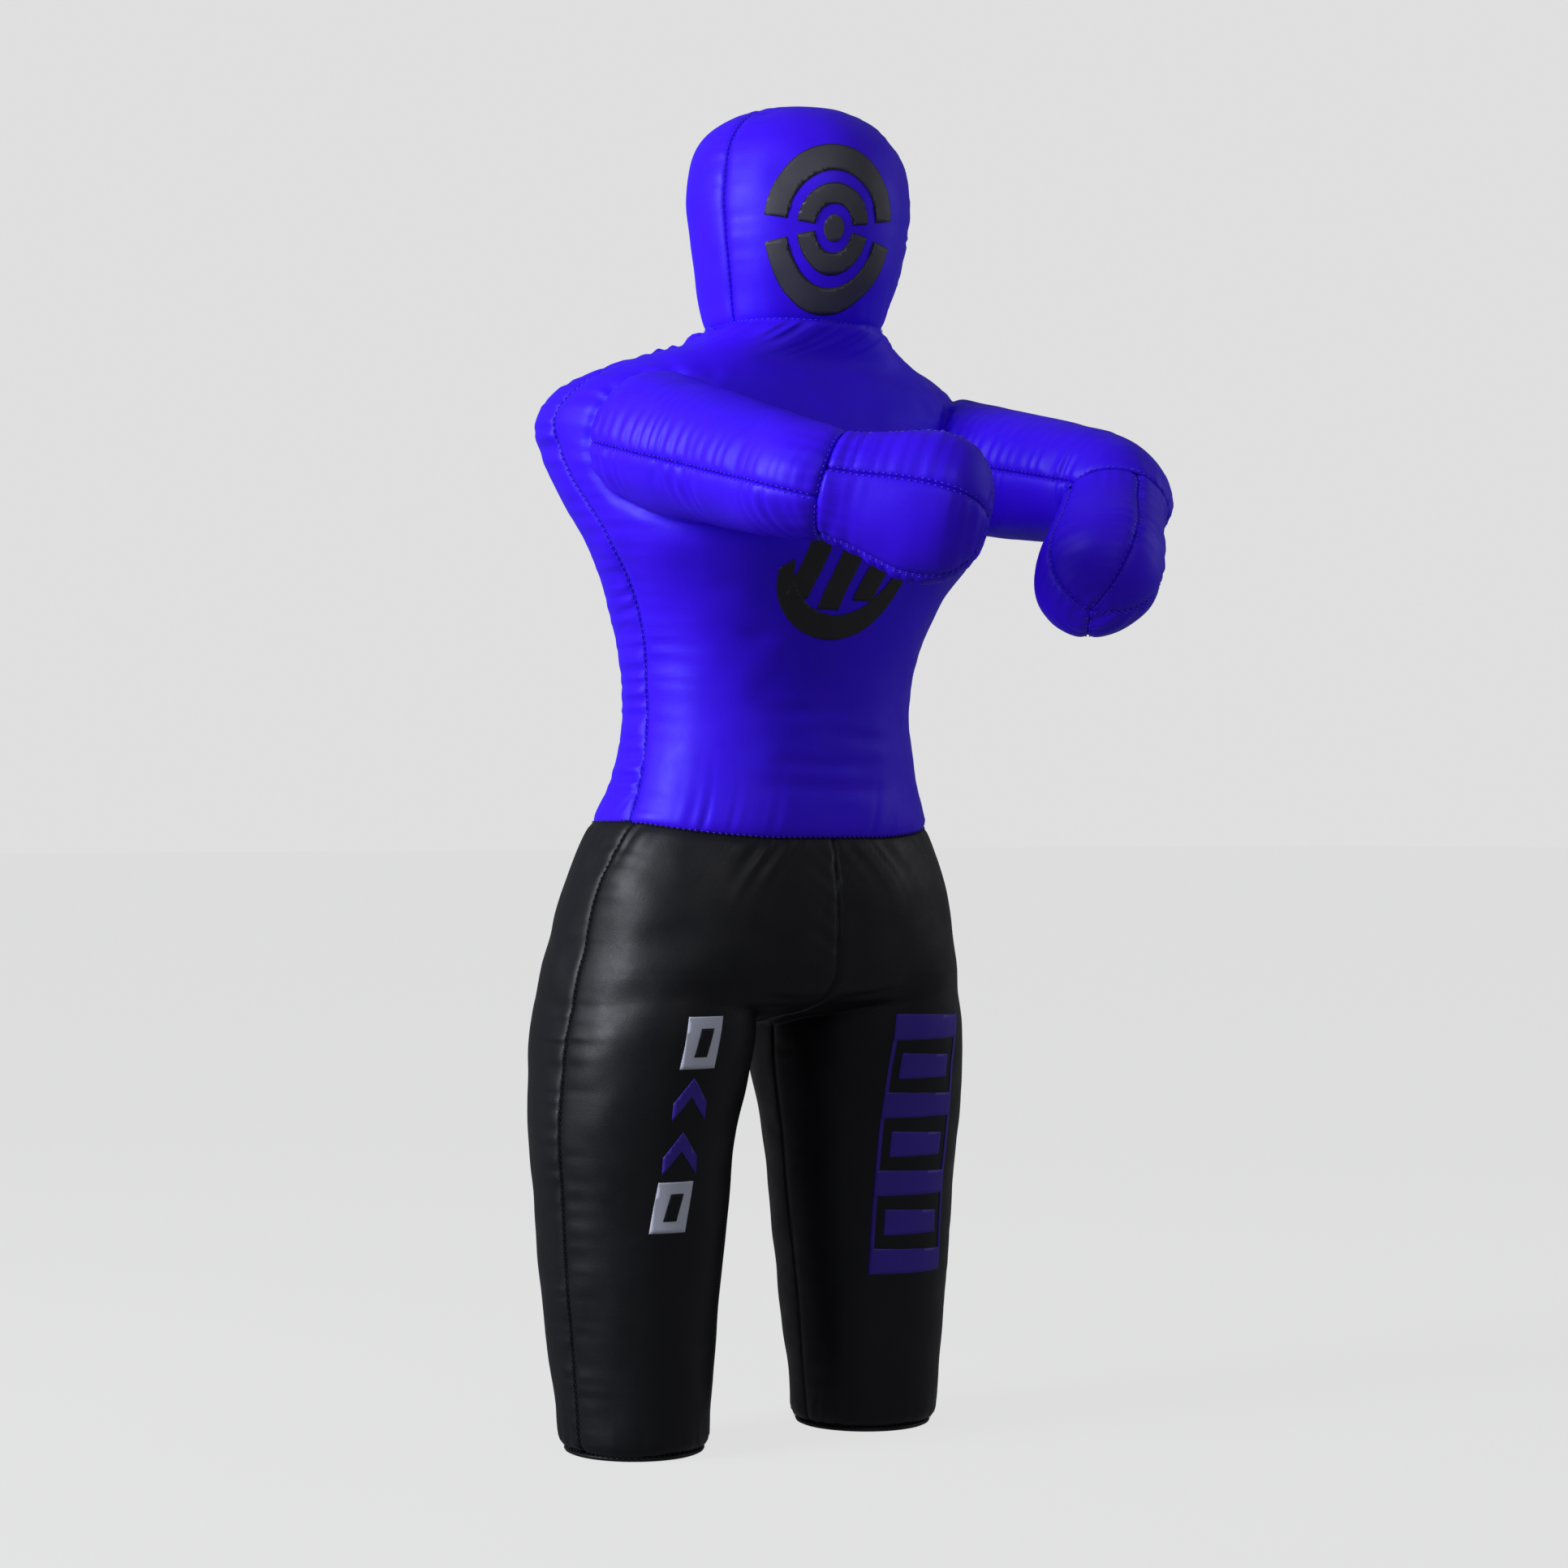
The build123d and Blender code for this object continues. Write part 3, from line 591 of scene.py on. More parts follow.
def side_puckers(points):
    """Ridges across the back panels beside the side seams, where the curved edge was eased in."""
    z = points[..., 2]
    behind = points[..., 1] - at_height(SIDE_SEAM, z)[..., 1]
    reach = np.where(behind > 0, np.exp(-((behind / 0.055) ** 2)) * np.clip(behind / 0.006, 0, 1), 0)
    window = np.exp(-(((z - 0.925) / 0.085) ** 4))
    ridges = wave(z + 0.25 * behind, 0.0165, 66) * (0.75 + 0.25 * np.sign(points[..., 0]))
    return 0.0026 * reach * window * ridges


def torso_extra(points):
    """Folds at the waist, the seams round the arm roots, and the hollow that the zip lies in."""
    height = side_puckers(points)
    for x0, x1, z, depth in (
        (-0.15, 0.02, 0.770, 0.0026),
        (-0.02, 0.15, 0.742, 0.0024),
        (-0.13, 0.10, 0.716, 0.0034),
        (-0.10, 0.14, 0.690, 0.0030),
        (-0.16, -0.02, 0.846, 0.0020),
    ):
        y = -0.142
        height += crease(points, (x0, y, z), (x1, y, z - 0.006), depth, 0.007, 0.006)
    back = (points[..., 1] > 0.03) & (np.abs(points[..., 0]) < 0.016)
    zip_low, zip_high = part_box("zip_tape_left")[0][2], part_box("zip_tape_left")[1][2]
    inside = (points[..., 2] > zip_low - 0.002) & (points[..., 2] < zip_high + 0.002)
    for arm in ARMS.values():
        height += armhole(arm.outside_by(points), points, arm)
    zip_hollow = 0.0042
    return height - zip_hollow * (back & inside)


def armhole(away, points, arm):
    """The seam where a sleeve meets the torso, with gathers across it."""
    off = points - arm.shoulder
    turn = np.arctan2(off @ arm.up, off @ arm.outside)
    gathers = wave(turn * SHOULDER_R, 0.021, 12) * np.exp(-np.abs(away) / 0.016)
    return -0.0038 * np.exp(-((away / 0.0055) ** 2)) + 0.0016 * gathers


def torso_outside_by(points):
    """Roughly how far points lie outside the torso."""
    row = at_height(TORSO, points[..., 2])
    x, y = points[..., 0], points[..., 1] - row[..., 3]
    return outside_section(x, y, row[..., 1], row[..., 2], BODY_POWER)


def torso():
    """Front and back panels; the back ones meet at the zip."""
    z = np.concatenate([np.linspace(WAIST_Z, 1.06, 100), np.linspace(1.064, NECK_Z + TUCK, 40)])
    panels = {
        "torso_front_panel": (lambda h: -180 - torso_seam_angle(h), torso_seam_angle, 150),
        "torso_back_panel_left": (torso_seam_angle, lambda h: 90 + 0 * h, 84),
        "torso_back_panel_right": (lambda h: 90 + 0 * h, lambda h: 180 - torso_seam_angle(h), 84),
    }
    for i, (name, (start, end, cols)) in enumerate(panels.items()):
        u = np.linspace(0, 1, cols)[None, :]
        a, b = start(z)[:, None], end(z)[:, None]
        zz = np.repeat(z[:, None], cols, 1)
        points = torso_point(zz, a + (b - a) * u)
        front = name == "torso_front_panel"
        gather = 0.0009 if front else 0.0030
        gathered = Seam(0.0035, 0.0045, gather=gather, pitch=0.019, reach=0.018, seed=40 + i)
        middle = Seam(0.0026, 0.0035, gather=0.0006, pitch=0.021, reach=0.010, seed=50)
        edges = {
            "low": Seam(0.0045, 0.0055, gather=0.0010, pitch=0.024, reach=0.014, seed=60 + i),
            "high": Seam(0.0040, 0.0055, gather=0.0009, pitch=0.022, reach=0.014, seed=70 + i),
            "first": middle if name.endswith("right") else gathered,
            "last": middle if name.endswith("left") else gathered,
        }
        covers = (name, "torso_stuffing", "neck_stuffing") if front else (name,)
        center = np.array([0, -0.03, 0.9])
        panel(name, points, edges, TORSO_RULE, MATERIALS["blue"], torso_extra, center, covers)


# ---- arms ------------------------------------------------
class Arm:
    """One arm's own space, taken from its joints in the frame: straight ahead is -Y."""

    def __init__(self, name):
        self.name = name
        self.side = 1 if name == "left" else -1
        self.shoulder = np.array(joint(f"shoulder_lift_{name}")["pos_m"])
        self.elbow = np.array(joint(f"elbow_bend_{name}")["pos_m"])
        self.ahead = (self.elbow - self.shoulder) / np.linalg.norm(self.elbow - self.shoulder)
        self.up = np.array(joint(f"elbow_bend_{name}")["axis"]) * self.side
        self.across = np.cross(self.ahead, self.up)
        inwards, down = math.radians(FOREARM_IN[name]), math.radians(FOREARM_DOWN[name])
        side = self.across * (1 if self.across[0] > 0 else -1)
        self.outside = side * self.side
        self.forearm = (
            -self.outside * math.sin(inwards) * math.cos(down)
            + self.ahead * math.cos(inwards) * math.cos(down)
            - self.up * math.sin(down)
        )

    def upper_rings(self):
        """Middle, direction and radius of rings from inside the shoulder to the elbow seam."""
        reach = np.linalg.norm(self.elbow - self.shoulder)
        rings = []
        cap, tube = np.linspace(-ARM_CAP, -0.002, 16), np.linspace(0.003, reach - ELBOW_BEND, 60)
        for s in np.concatenate([cap, tube]):
            rings.append((self.shoulder + self.ahead * s, self.ahead, self.radius(s), 0.0))
        for t in np.linspace(0.04, ELBOW_SEAM, 22):
            rings.append(self.elbow_ring(t))
        return rings

    def radius(self, s):
        """The upper arm's radius at a distance from the shoulder's middle; behind that it is a ball."""
        reach = np.linalg.norm(self.elbow - self.shoulder)
        tube = SHOULDER_R + (ARM_END_R - SHOULDER_R) * (np.maximum(s, 0) / reach) ** 1.15
        return tube * np.sqrt(np.maximum(1 - (np.minimum(s, 0) / SHOULDER_R) ** 2, 0))

    def outside_by(self, points):
        """How far points lie outside the upper arm."""
        off = points - self.shoulder
        s = off @ self.ahead
        square = np.linalg.norm(off - s[..., None] * self.ahead, axis=-1)
        return np.where(s > 0, square - self.radius(s), np.linalg.norm(off, axis=-1) - SHOULDER_R)

    def elbow_ring(self, t):
        """Middle, direction, radius and outer bulge of a ring on the elbow's curve."""
        way = self.curve(t + 0.01) - self.curve(t - 0.01)
        start, draw, bulge = 0.0572, 0.0050, 0.009
        radius = start - draw * min(t / ELBOW_SEAM, 1)
        return self.curve(t), way / np.linalg.norm(way), radius, bulge * math.sin(math.pi * t)

    def curve(self, t):
        """The arm's middle line round the elbow."""
        start = self.elbow - self.ahead * ELBOW_BEND
        end = self.elbow + self.forearm * ELBOW_BEND
        return start * (1 - t) ** 2 + self.elbow * 2 * t * (1 - t) + end * t * t

    def ring_points(self, middle, way, tall, wide, bulge, angles):
        """A ring square to a direction; 0 outside and 90 on top."""
        out = self.outside - way * np.dot(self.outside, way)
        out /= np.linalg.norm(out)
        up = np.cross(way, out)
        up *= 1 if up[2] > 0 else -1
        c, s = np.cos(np.radians(angles)), np.sin(np.radians(angles))
        wider = wide + bulge * np.clip(c, 0, 1) ** 1.5
        return middle + np.outer(wider * c, out) + np.outer(tall * s, up)


def sleeve(arm):
    """Top and under panels of the upper arm, sewn along its outer and inner sides."""
    name = arm.name
    halves = {"top": (-6, 174, 0), "under": (-186, -6, 1)}
    bend = [tuple(arm.shoulder + arm.ahead * s) for s in SLEEVE_BLEND]
    rule = ("blend", f"shoulder_{name}", f"upper_arm_{name}", *bend)
    rings = arm.upper_rings()
    for part, (start, end, i) in halves.items():
        angles = np.linspace(start, end, 50)
        points = np.array([arm.ring_points(m, w, r, r, b, angles) for m, w, r, b in rings])
        length = Seam(0.0028, 0.0038, gather=0.0021, pitch=0.016, reach=0.013, seed=80 + i)
        edges = {
            "first": length,
            "last": length,
            "high": Seam(0.0034, 0.0045, gather=0.0007, pitch=0.018, reach=0.010, seed=84 + i),
        }
        node = f"sleeve_{part}_{name}"
        covers = (node,)
        if part == "top":
            covers += (f"upper_arm_stuffing_{name}", f"shoulder_stuffing_{name}")
        center = (arm.shoulder + arm.elbow) / 2
        panel(node, points, edges, rule, MATERIALS["blue"], arm_extra(arm), center, covers)


def arm_extra(arm):
    """Soft folds near the shoulder and inside the elbow."""

    def height(points):
        total = armhole(torso_outside_by(points), points, arm)
        out, up = arm.outside, arm.up
        for s, lean, depth in ((0.085, 0.03, 0.0026), (0.115, 0.045, 0.0021), (0.15, 0.03, 0.0016)):
            base = arm.shoulder + arm.ahead * s + out * 0.062
            total += crease(points, base - up * 0.05, base + up * 0.03 + arm.ahead * lean, depth, 0.006)
        for s, depth in ((-0.018, 0.0030), (-0.034, 0.0024)):
            base = arm.elbow + arm.ahead * s - out * 0.052
            total += crease(points, base - up * 0.04, base + up * 0.04, depth, 0.006)
        return total

    return height


def forearm(arm):
    """Four gores that meet at the closed end."""
    name = arm.name
    rings = []
    for t in np.linspace(ELBOW_SEAM, 0.97, 4):
        middle, way, radius, bulge = arm.elbow_ring(t)
        rings.append((middle, way, radius, radius, bulge))
    for k in np.linspace(1.15, len(FIST) - 1.01, 50):
        s, tall, wide = along(FIST, k)
        rings.append((arm.elbow + arm.forearm * s, arm.forearm, tall, wide, 0.0))
    parts = ("outer", "top", "inner", "under")
    ends = FIST_SEAMS[1:] + (FIST_SEAMS[0] + 360,)
    bend = [tuple(arm.elbow + arm.forearm * s) for s in FOREARM_BLEND]
    rule = ("blend", f"upper_arm_{name}", f"forearm_{name}", *bend)
    for i, (part, a, b) in enumerate(zip(parts, FIST_SEAMS, ends)):
        angles = np.linspace(a, b, max(int((b - a) / 360 * 0.42 / GRID), 12))
        points = np.array([arm.ring_points(*ring, angles) for ring in rings])
        edge = Seam(0.0026, 0.0036, gather=0.0013, pitch=0.015, reach=0.010, seed=90 + i)
        edges = {
            "low": Seam(0.0034, 0.0045, gather=0.0008, pitch=0.016, reach=0.010, seed=95 + i, stitch=False),
            "first": edge,
            "last": edge,
        }
        node = f"forearm_{part}_{name}"
        covers = (node,)
        if part == "outer":
            covers += (f"forearm_stuffing_{name}",)
        center = arm.elbow + arm.forearm * 0.07
        panel(node, points, edges, rule, MATERIALS["blue"], None, center, covers)


# ---- trousers --------------------------------------------
def trouser_rule(side, name):
    x = side * 0.12
    return ("blend", "pelvis", f"leg_{name}", (x, 0, 0.500), (x, 0, 0.350))


def trouser_extra(side):
    """Folds that run out from the crotch and across the belly."""

    def height(points):
        total = 0 * points[..., 0]
        for x0, x1, z0, z1, depth in (
            (0.004, 0.095, 0.470, 0.482, 0.0040),
            (0.004, 0.110, 0.456, 0.456, 0.0036),
            (0.006, 0.090, 0.444, 0.430, 0.0030),
            (0.000, 0.080, 0.492, 0.530, 0.0034),
        ):
            for y in (-0.125, 0.135):
                total += crease(points, (side * x0, y, z0), (side * x1, y, z1), depth, 0.0075, 0.004)
        return total

    return height


def trousers():
    """Front and back panels of each side, and the sole discs."""
    leg_z, crotch_z = np.linspace(SOLE_TOP + 0.0005, 0.40, 96), np.linspace(0.403, 0.53, 60)
    z = np.concatenate([leg_z, crotch_z, np.linspace(0.534, WAIST_Z + TUCK / 2, 30)])
    for side, name in ((1, "left"), (-1, "right")):
        for turn, part in ((-1, "front"), (1, "back")):
            start, end = trouser_ends(z, turn)
            cols = 76
            u = np.linspace(0, 1, cols)[None, :]
            zz = np.repeat(z[:, None], cols, 1)
            points = trouser_point(zz, start[:, None] + (end - start)[:, None] * u)
            points = round_foot(points)
            points[..., 0] = np.maximum(points[..., 0], 0) * side
            seed = 100 + (turn + 1) * 3 + side
            edges = {
                "low": Seam(0.0016, 0.0040, gather=0.0006, pitch=0.020, reach=0.010, seed=seed),
                "high": Seam(0.0045, 0.0055, gather=0.0012, pitch=0.024, reach=0.014, seed=seed + 20),
                "first": Seam(0.0028, 0.0036, gather=0.0007, pitch=0.021, reach=0.011, seed=seed + 40),
                "last": Seam(0.0013, 0.0034, 0.0005, pitch=0.022, reach=0.010, seed=seed + 60, stitch=False),
            }
            node = f"trouser_{part}_panel_{name}"
            covers = (node, f"leg_stuffing_{name}") if part == "front" else (node,)
            if node == "trouser_front_panel_left":
                covers += ("pelvis_stuffing",)
            rule = trouser_rule(side, name)
            center = np.array([side * LEG_MIDDLE, 0.005, 0.3])
            extra = trouser_extra(side)
            panel(node, points, edges, rule, MATERIALS["black"], extra, center, covers, BLACK)
        sole(name)


def round_foot(points):
    """Draws the lowest stretch of a leg in towards its sole, as a rounded edge."""
    rise, draw = 0.014, 0.035
    z = points[..., 2]
    t = np.clip((SOLE_TOP + rise - z) / rise, 0, 1)
    middle = LEG[0, 1], LEG[0, 4]
    share = 1 - draw * t**2
    points[..., 0] = middle[0] + (points[..., 0] - middle[0]) * share
    points[..., 1] = middle[1] + (points[..., 1] - middle[1]) * share
    return points


def sole(name):
    """The round disc that closes a leg, slightly crowned at its rim."""
    low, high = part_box(f"leg_sole_{name}")
    cx, cy = (low[0] + high[0]) / 2, (low[1] + high[1]) / 2
    rx, ry = (high[0] - low[0]) / 2, (high[1] - low[1]) / 2
    profile = [(0.0, 0.0), (0.5, 0.0), (0.86, 0.0), (0.94, 0.0005), (0.98, 0.0018), (0.995, 0.0036)]
    profile += [(0.985, 0.0048), (0.955, 0.0056), (0.90, 0.0058), (0.4, 0.0058), (0.0, 0.0058)]
    turns = 96
    verts = []
    for share, rise in profile:
        for k in range(turns):
            a = 2 * math.pi * k / turns
            verts.append((cx + rx * share * math.cos(a), cy + ry * share * math.sin(a), low[2] + rise))
    faces = []
    for i in range(len(profile) - 1):
        for k in range(turns):
            j = (k + 1) % turns
            faces.append((i * turns + j, i * turns + k, (i + 1) * turns + k, (i + 1) * turns + j))
    obj = new_mesh(f"leg_sole_{name}_skin", verts, faces, MATERIALS["black"])
    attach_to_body(obj, f"leg_{name}")
    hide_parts(f"leg_sole_{name}")


# ---- stuffing --------------------------------------------
def cover_tree(words):
    """A search tree over the cover panels whose names hold one of the words."""
    points, faces = [], []
    for name, (places, quads) in COVER_MESHES.items():
        if any(word in name for word in words):
            faces += [tuple(i + len(points) for i in quad) for quad in quads]
            points += [Vector(p) for p in places]
    return BVHTree.FromPolygons(points, faces)


# joint: room between stuffing and cover beside it, and the distances where that starts to fade and ends
FLEX_ROOM = {
    "hip_swing": (0.036, 0.17, 0.28),
    "waist_bend": (0.028, 0.18, 0.26),
    "head_nod": (0.012, 0.11, 0.16),
    "shoulder_lift": (0.028, 0.12, 0.19),
    "elbow_bend": (0.040, 0.10, 0.17),
}
LEAST_ROOM = 0.0045


def room_at(points):
    """Room between stuffing and cover: more beside the flexing places, where the cover slides over it."""
    room = np.full(len(points), LEAST_ROOM)
    for hinge in frame["joints"]:
        for word, (wide, near, far) in FLEX_ROOM.items():
            if hinge["name"].startswith(word):
                away = np.linalg.norm(points - np.array(hinge["pos_m"]), axis=1)
                share = np.clip((far - away) / (far - near), 0, 1)
                room = np.maximum(room, wide * share**2 * (3 - 2 * share))
    return room


def tucked(point, tree, room):
    """The point itself, or a place inside the cover if it is too near to it."""
    place, normal, _, _ = tree.find_nearest(point)
    return place - normal * room if (point - place).dot(normal) > -room else point


def stuffing(node, body, tree):
    """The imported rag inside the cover: the CAD solid's form, lumpy and tucked in under the panels."""
    source = nodes[node]
    mesh = source.data.copy()
    obj = placed(f"{node}_rag", mesh)
    mesh.materials.clear()
    mesh.materials.append(MATERIALS["stuffing"])
    remesh = obj.modifiers.new("remesh", "REMESH")
    remesh.mode = "VOXEL"
    remesh.voxel_size = 0.009
    smooth = obj.modifiers.new("smooth", "SMOOTH")
    smooth.iterations = 12
    depsgraph = bpy.context.evaluated_depsgraph_get()
    fresh = bpy.data.meshes.new_from_object(obj.evaluated_get(depsgraph))
    obj.modifiers.clear()
    obj.data = fresh
    fresh.shade_smooth()
    co = np.array([v.co for v in fresh.vertices])
    normal = np.array([v.normal for v in fresh.vertices])
    drawn_in, lump = 0.0035, 0.0018
    push = -drawn_in + lump * noise_at(co, 0.028, 2.2)
    co = co + normal * push[:, None]
    co = np.array([tucked(Vector(p), tree, float(room)) for p, room in zip(co, room_at(co))])
    fresh.vertices.foreach_set("co", co.reshape(-1))
    fresh.update()
    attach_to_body(obj, body)
    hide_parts(node)


def all_stuffing():
    """Each piece is tucked in under the covers that lie over it: an arm's own, or the body's."""
    parts = ("top", "under", "outer", "inner")
    trees = {side: cover_tree([f"{part}_{side}" for part in parts]) for side in ARMS}
    trees["body"] = cover_tree(("torso", "head", "trouser"))
    for body, names in frame["record"]["behaviour"]["bodies"].items():
        for node in names:
            if "stuffing" in node:
                in_arm = "arm" in node or "shoulder" in node
                stuffing(node, body, trees[node.rsplit("_", 1)[-1] if in_arm else "body"])


# ---- prints ----------------------------------------------
def front_of_torso(x, z):
    """The even form's front face, for printed shapes."""
    row = at_height(TORSO, z)
    y = row[..., 3] - row[..., 2] * (1 - np.abs(x / row[..., 1]) ** BODY_POWER) ** (1 / BODY_POWER)
    return np.stack([x, y, z], -1)


def face_of_head(x, z):
    """x is measured round the head from the middle of the printed shape."""
    angle = PRINT_TURN + np.degrees(x / 0.114)
    return head_point(np.interp(z, HEAD[:, 0], np.arange(len(HEAD))), angle)


def front_of_leg(x, z):
    """By the shortest way forward from the leg's middle plane, for x on either side."""
    side = np.sign(x.mean())
    near, far = -0.30 + 0 * x, 0 * x
    for _ in range(24):
        half = (near + far) / 2
        out = trouser_outside(np.abs(x), half, z) > 0
        near, far = np.where(out, half, near), np.where(out, far, half)
    return np.stack([np.abs(x) * side, far, z], -1)


def printed(name, surface, outline, material, rule, lift=INK_LIFT, extra=None):
    """A thin printed shape that lies on the cover. outline is a closed list of (x, z)."""
    bm = bmesh.new()
    ring = [bm.verts.new((x, 0, z)) for x, z in outline]
    bm.faces.new(ring)
    bmesh.ops.triangulate(bm, faces=bm.faces[:])
    xs, zs = zip(*outline)
    for values, way in ((zs, (0, 0, 1)), (xs, (1, 0, 0))):
        low, high = min(values), max(values)
        for k in range(1, int((high - low) / GRID) + 1):
            geometry = bm.verts[:] + bm.edges[:] + bm.faces[:]
            place = [axis * (low + k * GRID) for axis in way]
            bmesh.ops.bisect_plane(bm, geom=geometry, plane_co=place, plane_no=way)
    mesh = bpy.data.meshes.new(name)
    bm.to_mesh(mesh)
    bm.free()
    flat = np.array([v.co for v in mesh.vertices])
    x, z = flat[:, 0], flat[:, 2]
    step = 0.0008
    p = surface(x, z)
    across = surface(x + step, z) - p
    up = surface(x, z + step) - p
    n = np.cross(across, up)
    n /= np.linalg.norm(n, axis=-1, keepdims=True)
    n *= np.where(n[:, 1:2] > 0, -1, 1)
    height = lumps(p) + PLUMP + lift
    if extra is not None:
        height = height + extra(p)
    mesh.vertices.foreach_set("co", (p + n * height[:, None]).reshape(-1))
    mesh.update()
    mesh.shade_smooth()
    mesh.materials.append(material)
    obj = placed(name, mesh)
    if sum(f.normal.y * f.area for f in mesh.polygons) > 0:
        mesh.flip_normals()
    thick = obj.modifiers.new("ink", "SOLIDIFY")
    thick.thickness = INK
    thick.offset = -1
    attach(obj, rule)


def arc(cx, cz, rx, rz, start, end, count):
    """Points (x, z) on part of an ellipse, between two angles in degrees."""
    angles = [math.radians(start + (end - start) * k / (count - 1)) for k in range(count)]
    return [(cx + rx * math.cos(a), cz + rz * math.sin(a)) for a in angles]


def head_print():
    """A plain target of broken rings on the face panel."""
    middle_z, tall = 1.248, 1.15
    for i, (outer, inner) in enumerate(((0.072, 0.051), (0.038, 0.022))):
        for k, (a, b) in enumerate(((10, 170), (190, 350))):
            for edge, material, lift, grow in (
                ("edge", "print_edge", INK_LIFT, 0.0013),
                ("face", "print_grey", 0.0010, 0.0),
            ):
                swing = math.degrees(grow / outer)
                ring = arc(0, middle_z, outer + grow, tall * (outer + grow), a - swing, b + swing, 30)
                ring += arc(0, middle_z, inner - grow, tall * (inner - grow), b + swing, a - swing, 30)
                name = f"head_print_ring_{i}_{k}_{edge}"
                printed(name, face_of_head, ring, MATERIALS[material], HEAD_RULE, lift)
    dot = arc(0, middle_z, 0.011, 0.0134, 0, 345, 24)
    printed("head_print_dot", face_of_head, dot, MATERIALS["print_grey"], HEAD_RULE, 0.0010)


def chest_print():
    """A plain round shield with slanted bars, below the arms."""
    cx, cz, r = -0.016, 0.912, 0.078
    lower = arc(cx, cz, r, r, 186, 354, 36) + arc(cx, cz + 0.014, 0.84 * r, 0.86 * r, 348, 192, 36)
    printed("chest_print_rim", front_of_torso, lower, MATERIALS["print_edge"], TORSO_RULE)
    for k, x in enumerate((-0.050, -0.010, 0.030)):
        low, high = cz - 0.048 + 0.010 * abs(k - 1), cz + 0.044
        bar = [(cx + x - 0.012, low), (cx + x + 0.014, low), (cx + x + 0.030, high), (cx + x + 0.004, high)]
        printed(f"chest_print_bar_{k}", front_of_torso, bar, MATERIALS["print_edge"], TORSO_RULE)


def leg_prints():
    """Plain blocks and chevrons down the right thigh, and a ladder of bars down the left one."""
    rule, extra = trouser_rule(-1, "right"), trouser_extra(-1)
    rows = ((0.427, "block"), (0.370, "chevron"), (0.315, "chevron"), (0.260, "block"))
    for k, (z, kind) in enumerate(rows):
        middle = -LEG_MIDDLE - 0.017 * (rows[0][0] - z) / (rows[0][0] - rows[-1][0])
        wide, tall = 0.019, 0.026
        if kind == "block":
            outer = block(middle, z, wide, tall)
            inner = block(middle + 0.001, z, wide - 0.012, tall - 0.012)
            ink, slit = MATERIALS["print_white"], f"right_leg_print_slit_{k}"
            printed(f"right_leg_print_{k}", front_of_leg, outer, ink, rule, INK_LIFT, extra)
            printed(slit, front_of_leg, inner, MATERIALS["black"], rule, 0.0011, extra)
        else:
            shape = [
                (middle - wide, z - 0.022),
                (middle, z + 0.002),
                (middle + wide, z - 0.022),
                (middle + wide, z - 0.004),
                (middle, z + 0.022),
                (middle - wide, z - 0.004),
            ]
            ink = MATERIALS["print_purple"]
            printed(f"right_leg_print_{k}", front_of_leg, shape, ink, rule, INK_LIFT, extra)
    rule, extra, ink = trouser_rule(1, "left"), trouser_extra(1), MATERIALS["print_purple"]
    x0, x1, low, high = 0.099, 0.186, 0.172, 0.446
    for k, x in enumerate((x0, x1 - 0.004)):
        rail = [(x, low), (x + 0.004, low), (x + 0.004, high), (x, high)]
        printed(f"left_leg_print_rail_{k}", front_of_leg, rail, ink, rule, INK_LIFT, extra)
    bars = 7
    for k in range(bars):
        z = low + 0.012 + (high - low - 0.024) * k / (bars - 1)
        inset = 0.012 if k % 2 else 0.0
        left, right = x0 + inset, x1 - inset
        bar = [(left, z - 0.014), (right, z - 0.014), (right, z + 0.010), (left, z + 0.014)]
        printed(f"left_leg_print_bar_{k}", front_of_leg, bar, ink, rule, 0.0007, extra)


def block(x, z, wide, tall):
    """A slightly leaning rectangle."""
    lean = 0.003
    low = [(x - wide - lean, z - tall), (x + wide - lean, z - tall)]
    return low + [(x + wide + lean, z + tall), (x - wide + lean, z + tall)]


# ---- zip -------------------------------------------------
def zip_fastener():
    """The CAD pieces themselves, with their materials."""
    for name, obj in nodes.items():
        if not name.startswith("zip_"):
            continue
        material = MATERIALS["tape"] if "tape" in name else MATERIALS["metal"]
        for place in obj.material_slots:
            place.material = material


# ---- stage -----------------------------------------------
def area_light(name, place, target, size, power, colour=(1, 1, 1)):
    data = bpy.data.lights.new(name, "AREA")
    data.shape = "RECTANGLE"
    data.size, data.size_y = size
    data.energy = power
    data.color = colour
    obj = placed(name, data)
    obj.location = place
    obj.rotation_euler = (Vector(target) - Vector(place)).to_track_quat("-Z", "Y").to_euler()


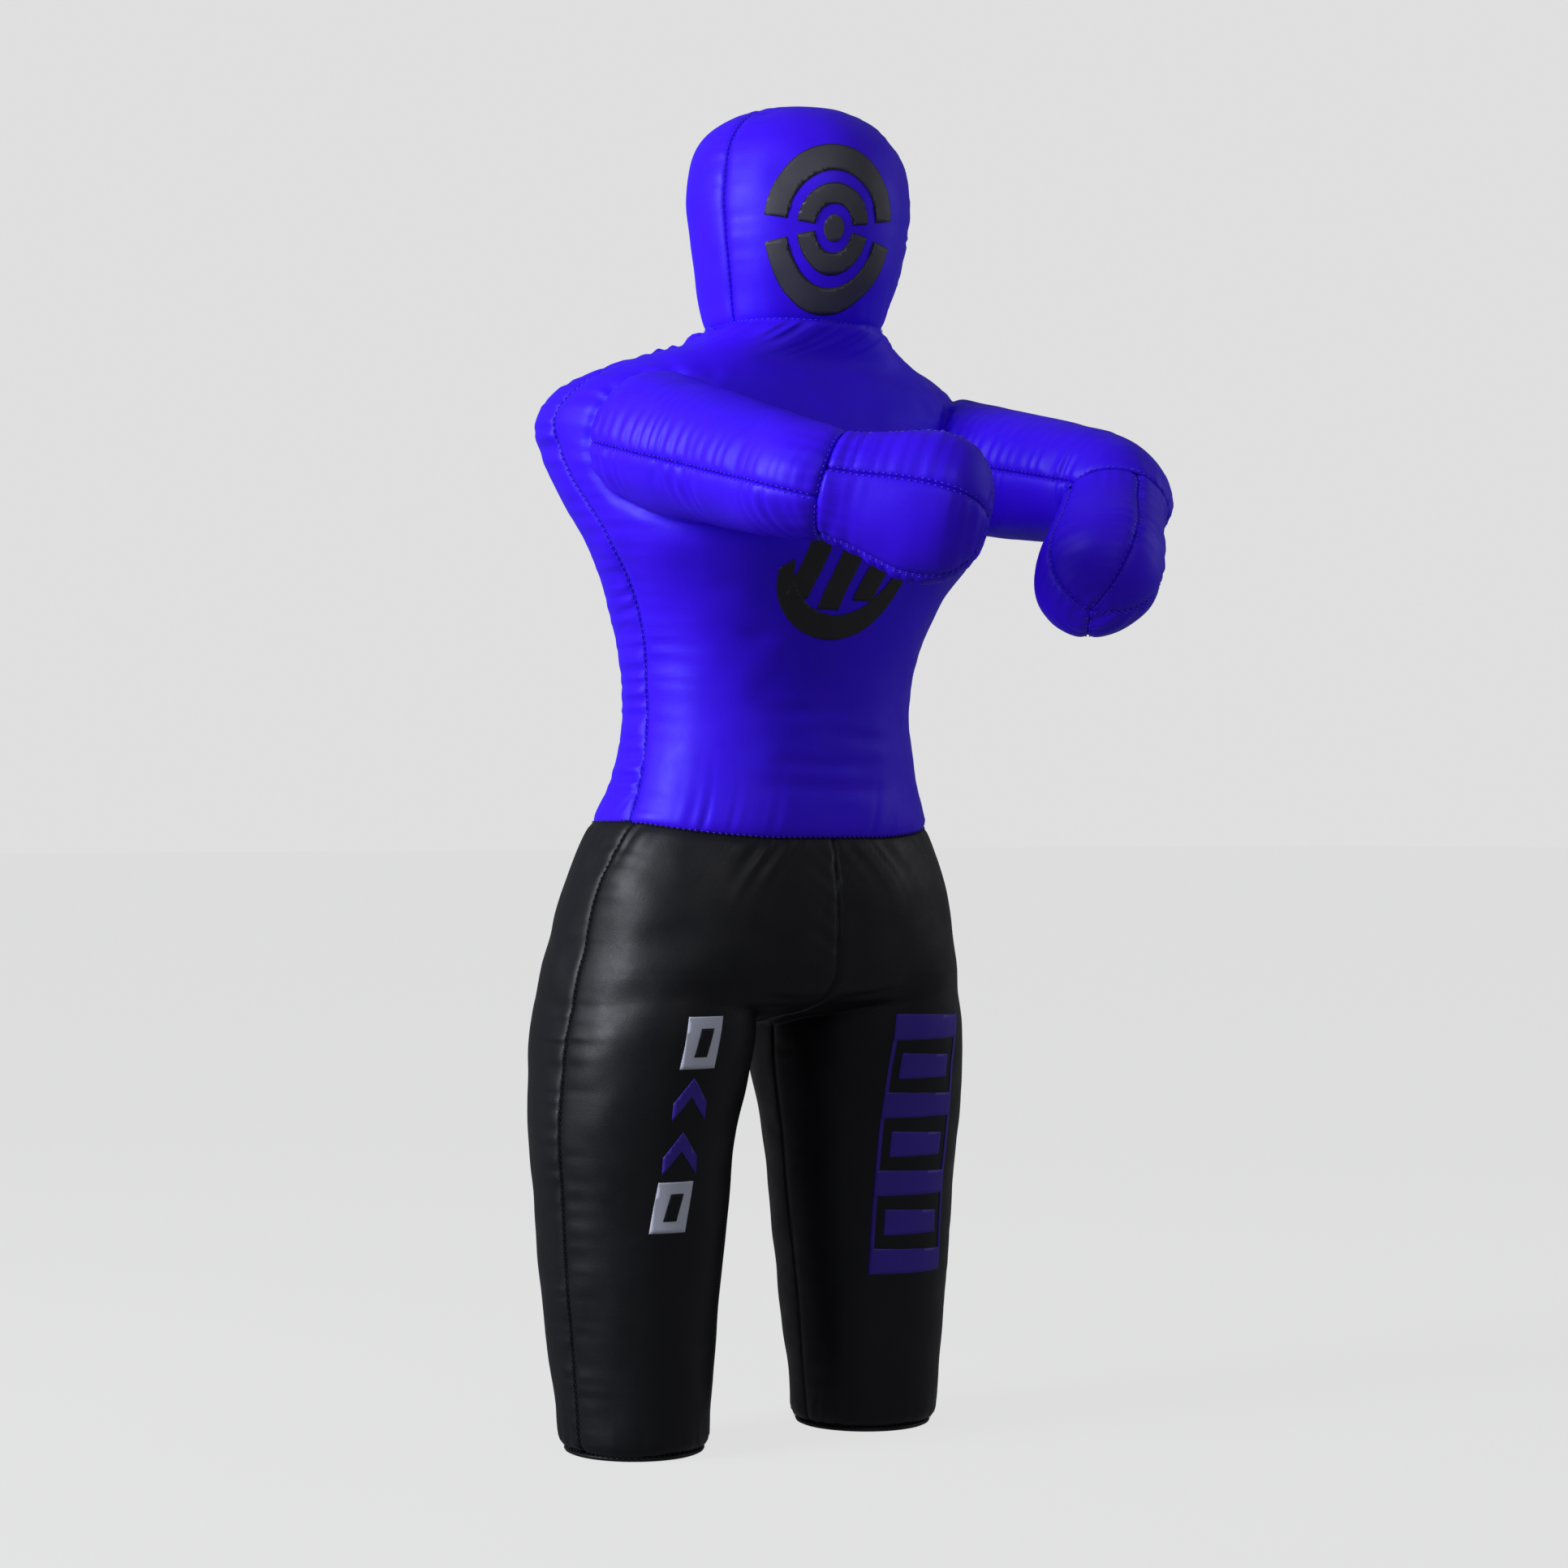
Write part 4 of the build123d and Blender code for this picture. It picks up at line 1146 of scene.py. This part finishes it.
def stage():
    """A pale floor that runs into a background of the same tone, and soft studio lights."""
    pale = bpy.data.materials.new("pale_floor")
    pale.use_nodes = True
    shader = pale.node_tree.nodes["Principled BSDF"]
    shader.inputs["Base Color"].default_value = (0.07, 0.07, 0.07, 1)
    shader.inputs["Roughness"].default_value = 1.0
    shader.inputs["Specular IOR Level"].default_value = 0.0
    shader.inputs["Emission Color"].default_value = PALE
    shader.inputs["Emission Strength"].default_value = 0.965
    reach = 60  # half the floor's side
    corners = [(-reach, -reach, 0), (reach, -reach, 0), (reach, reach, 0), (-reach, reach, 0)]
    floor = new_mesh("floor", corners, [(0, 1, 2, 3)], pale)
    floor.visible_diffuse = False
    floor.visible_glossy = False
    world = bpy.data.worlds.new("studio")
    world.use_nodes = True
    tree = world.node_tree
    path = tree.nodes.new("ShaderNodeLightPath")
    tone = tree.nodes.new("ShaderNodeMix")
    tone.data_type = "RGBA"
    tone.inputs["A"].default_value = (0.15, 0.15, 0.165, 1)
    tone.inputs["B"].default_value = PALE
    tree.links.new(path.outputs["Is Camera Ray"], tone.inputs["Factor"])
    tree.links.new(tone.outputs["Result"], tree.nodes["Background"].inputs["Color"])
    bpy.context.scene.world = world
    bpy.context.scene.view_settings.view_transform = "Standard"
    area_light("key", (-3.6, 0.35, 2.0), LIGHT_TARGET, (1.6, 2.4), 165, (0.90, 0.92, 1.0))
    area_light("front", (-1.2, -4.2, 2.8), LIGHT_TARGET, (2.0, 1.6), 22)
    area_light("rim", (3.0, -1.2, 1.8), (0, 0, 0.9), (1.0, 2.0), 9)


def camera():
    """From the dummy's front right, at hip height."""
    azimuth, distance, height = math.radians(35), 3.6, 0.65
    data = bpy.data.cameras.new("camera")
    data.lens = 78.07
    data.sensor_width = 36
    obj = placed("camera", data)
    obj.location = (-distance * math.sin(azimuth), -distance * math.cos(azimuth), height)
    pan, tilt = math.radians(0.52), math.radians(0.61)
    obj.rotation_euler = (math.radians(90) + tilt, 0, -azimuth - pan)
    bpy.context.scene.camera = obj


ARMS = {side_name: Arm(side_name) for side_name in ("right", "left")}
camera()
head()
torso()
for each_arm in ARMS.values():
    sleeve(each_arm)
    forearm(each_arm)
trousers()
all_stuffing()
head_print()
chest_print()
leg_prints()
zip_fastener()
stage()
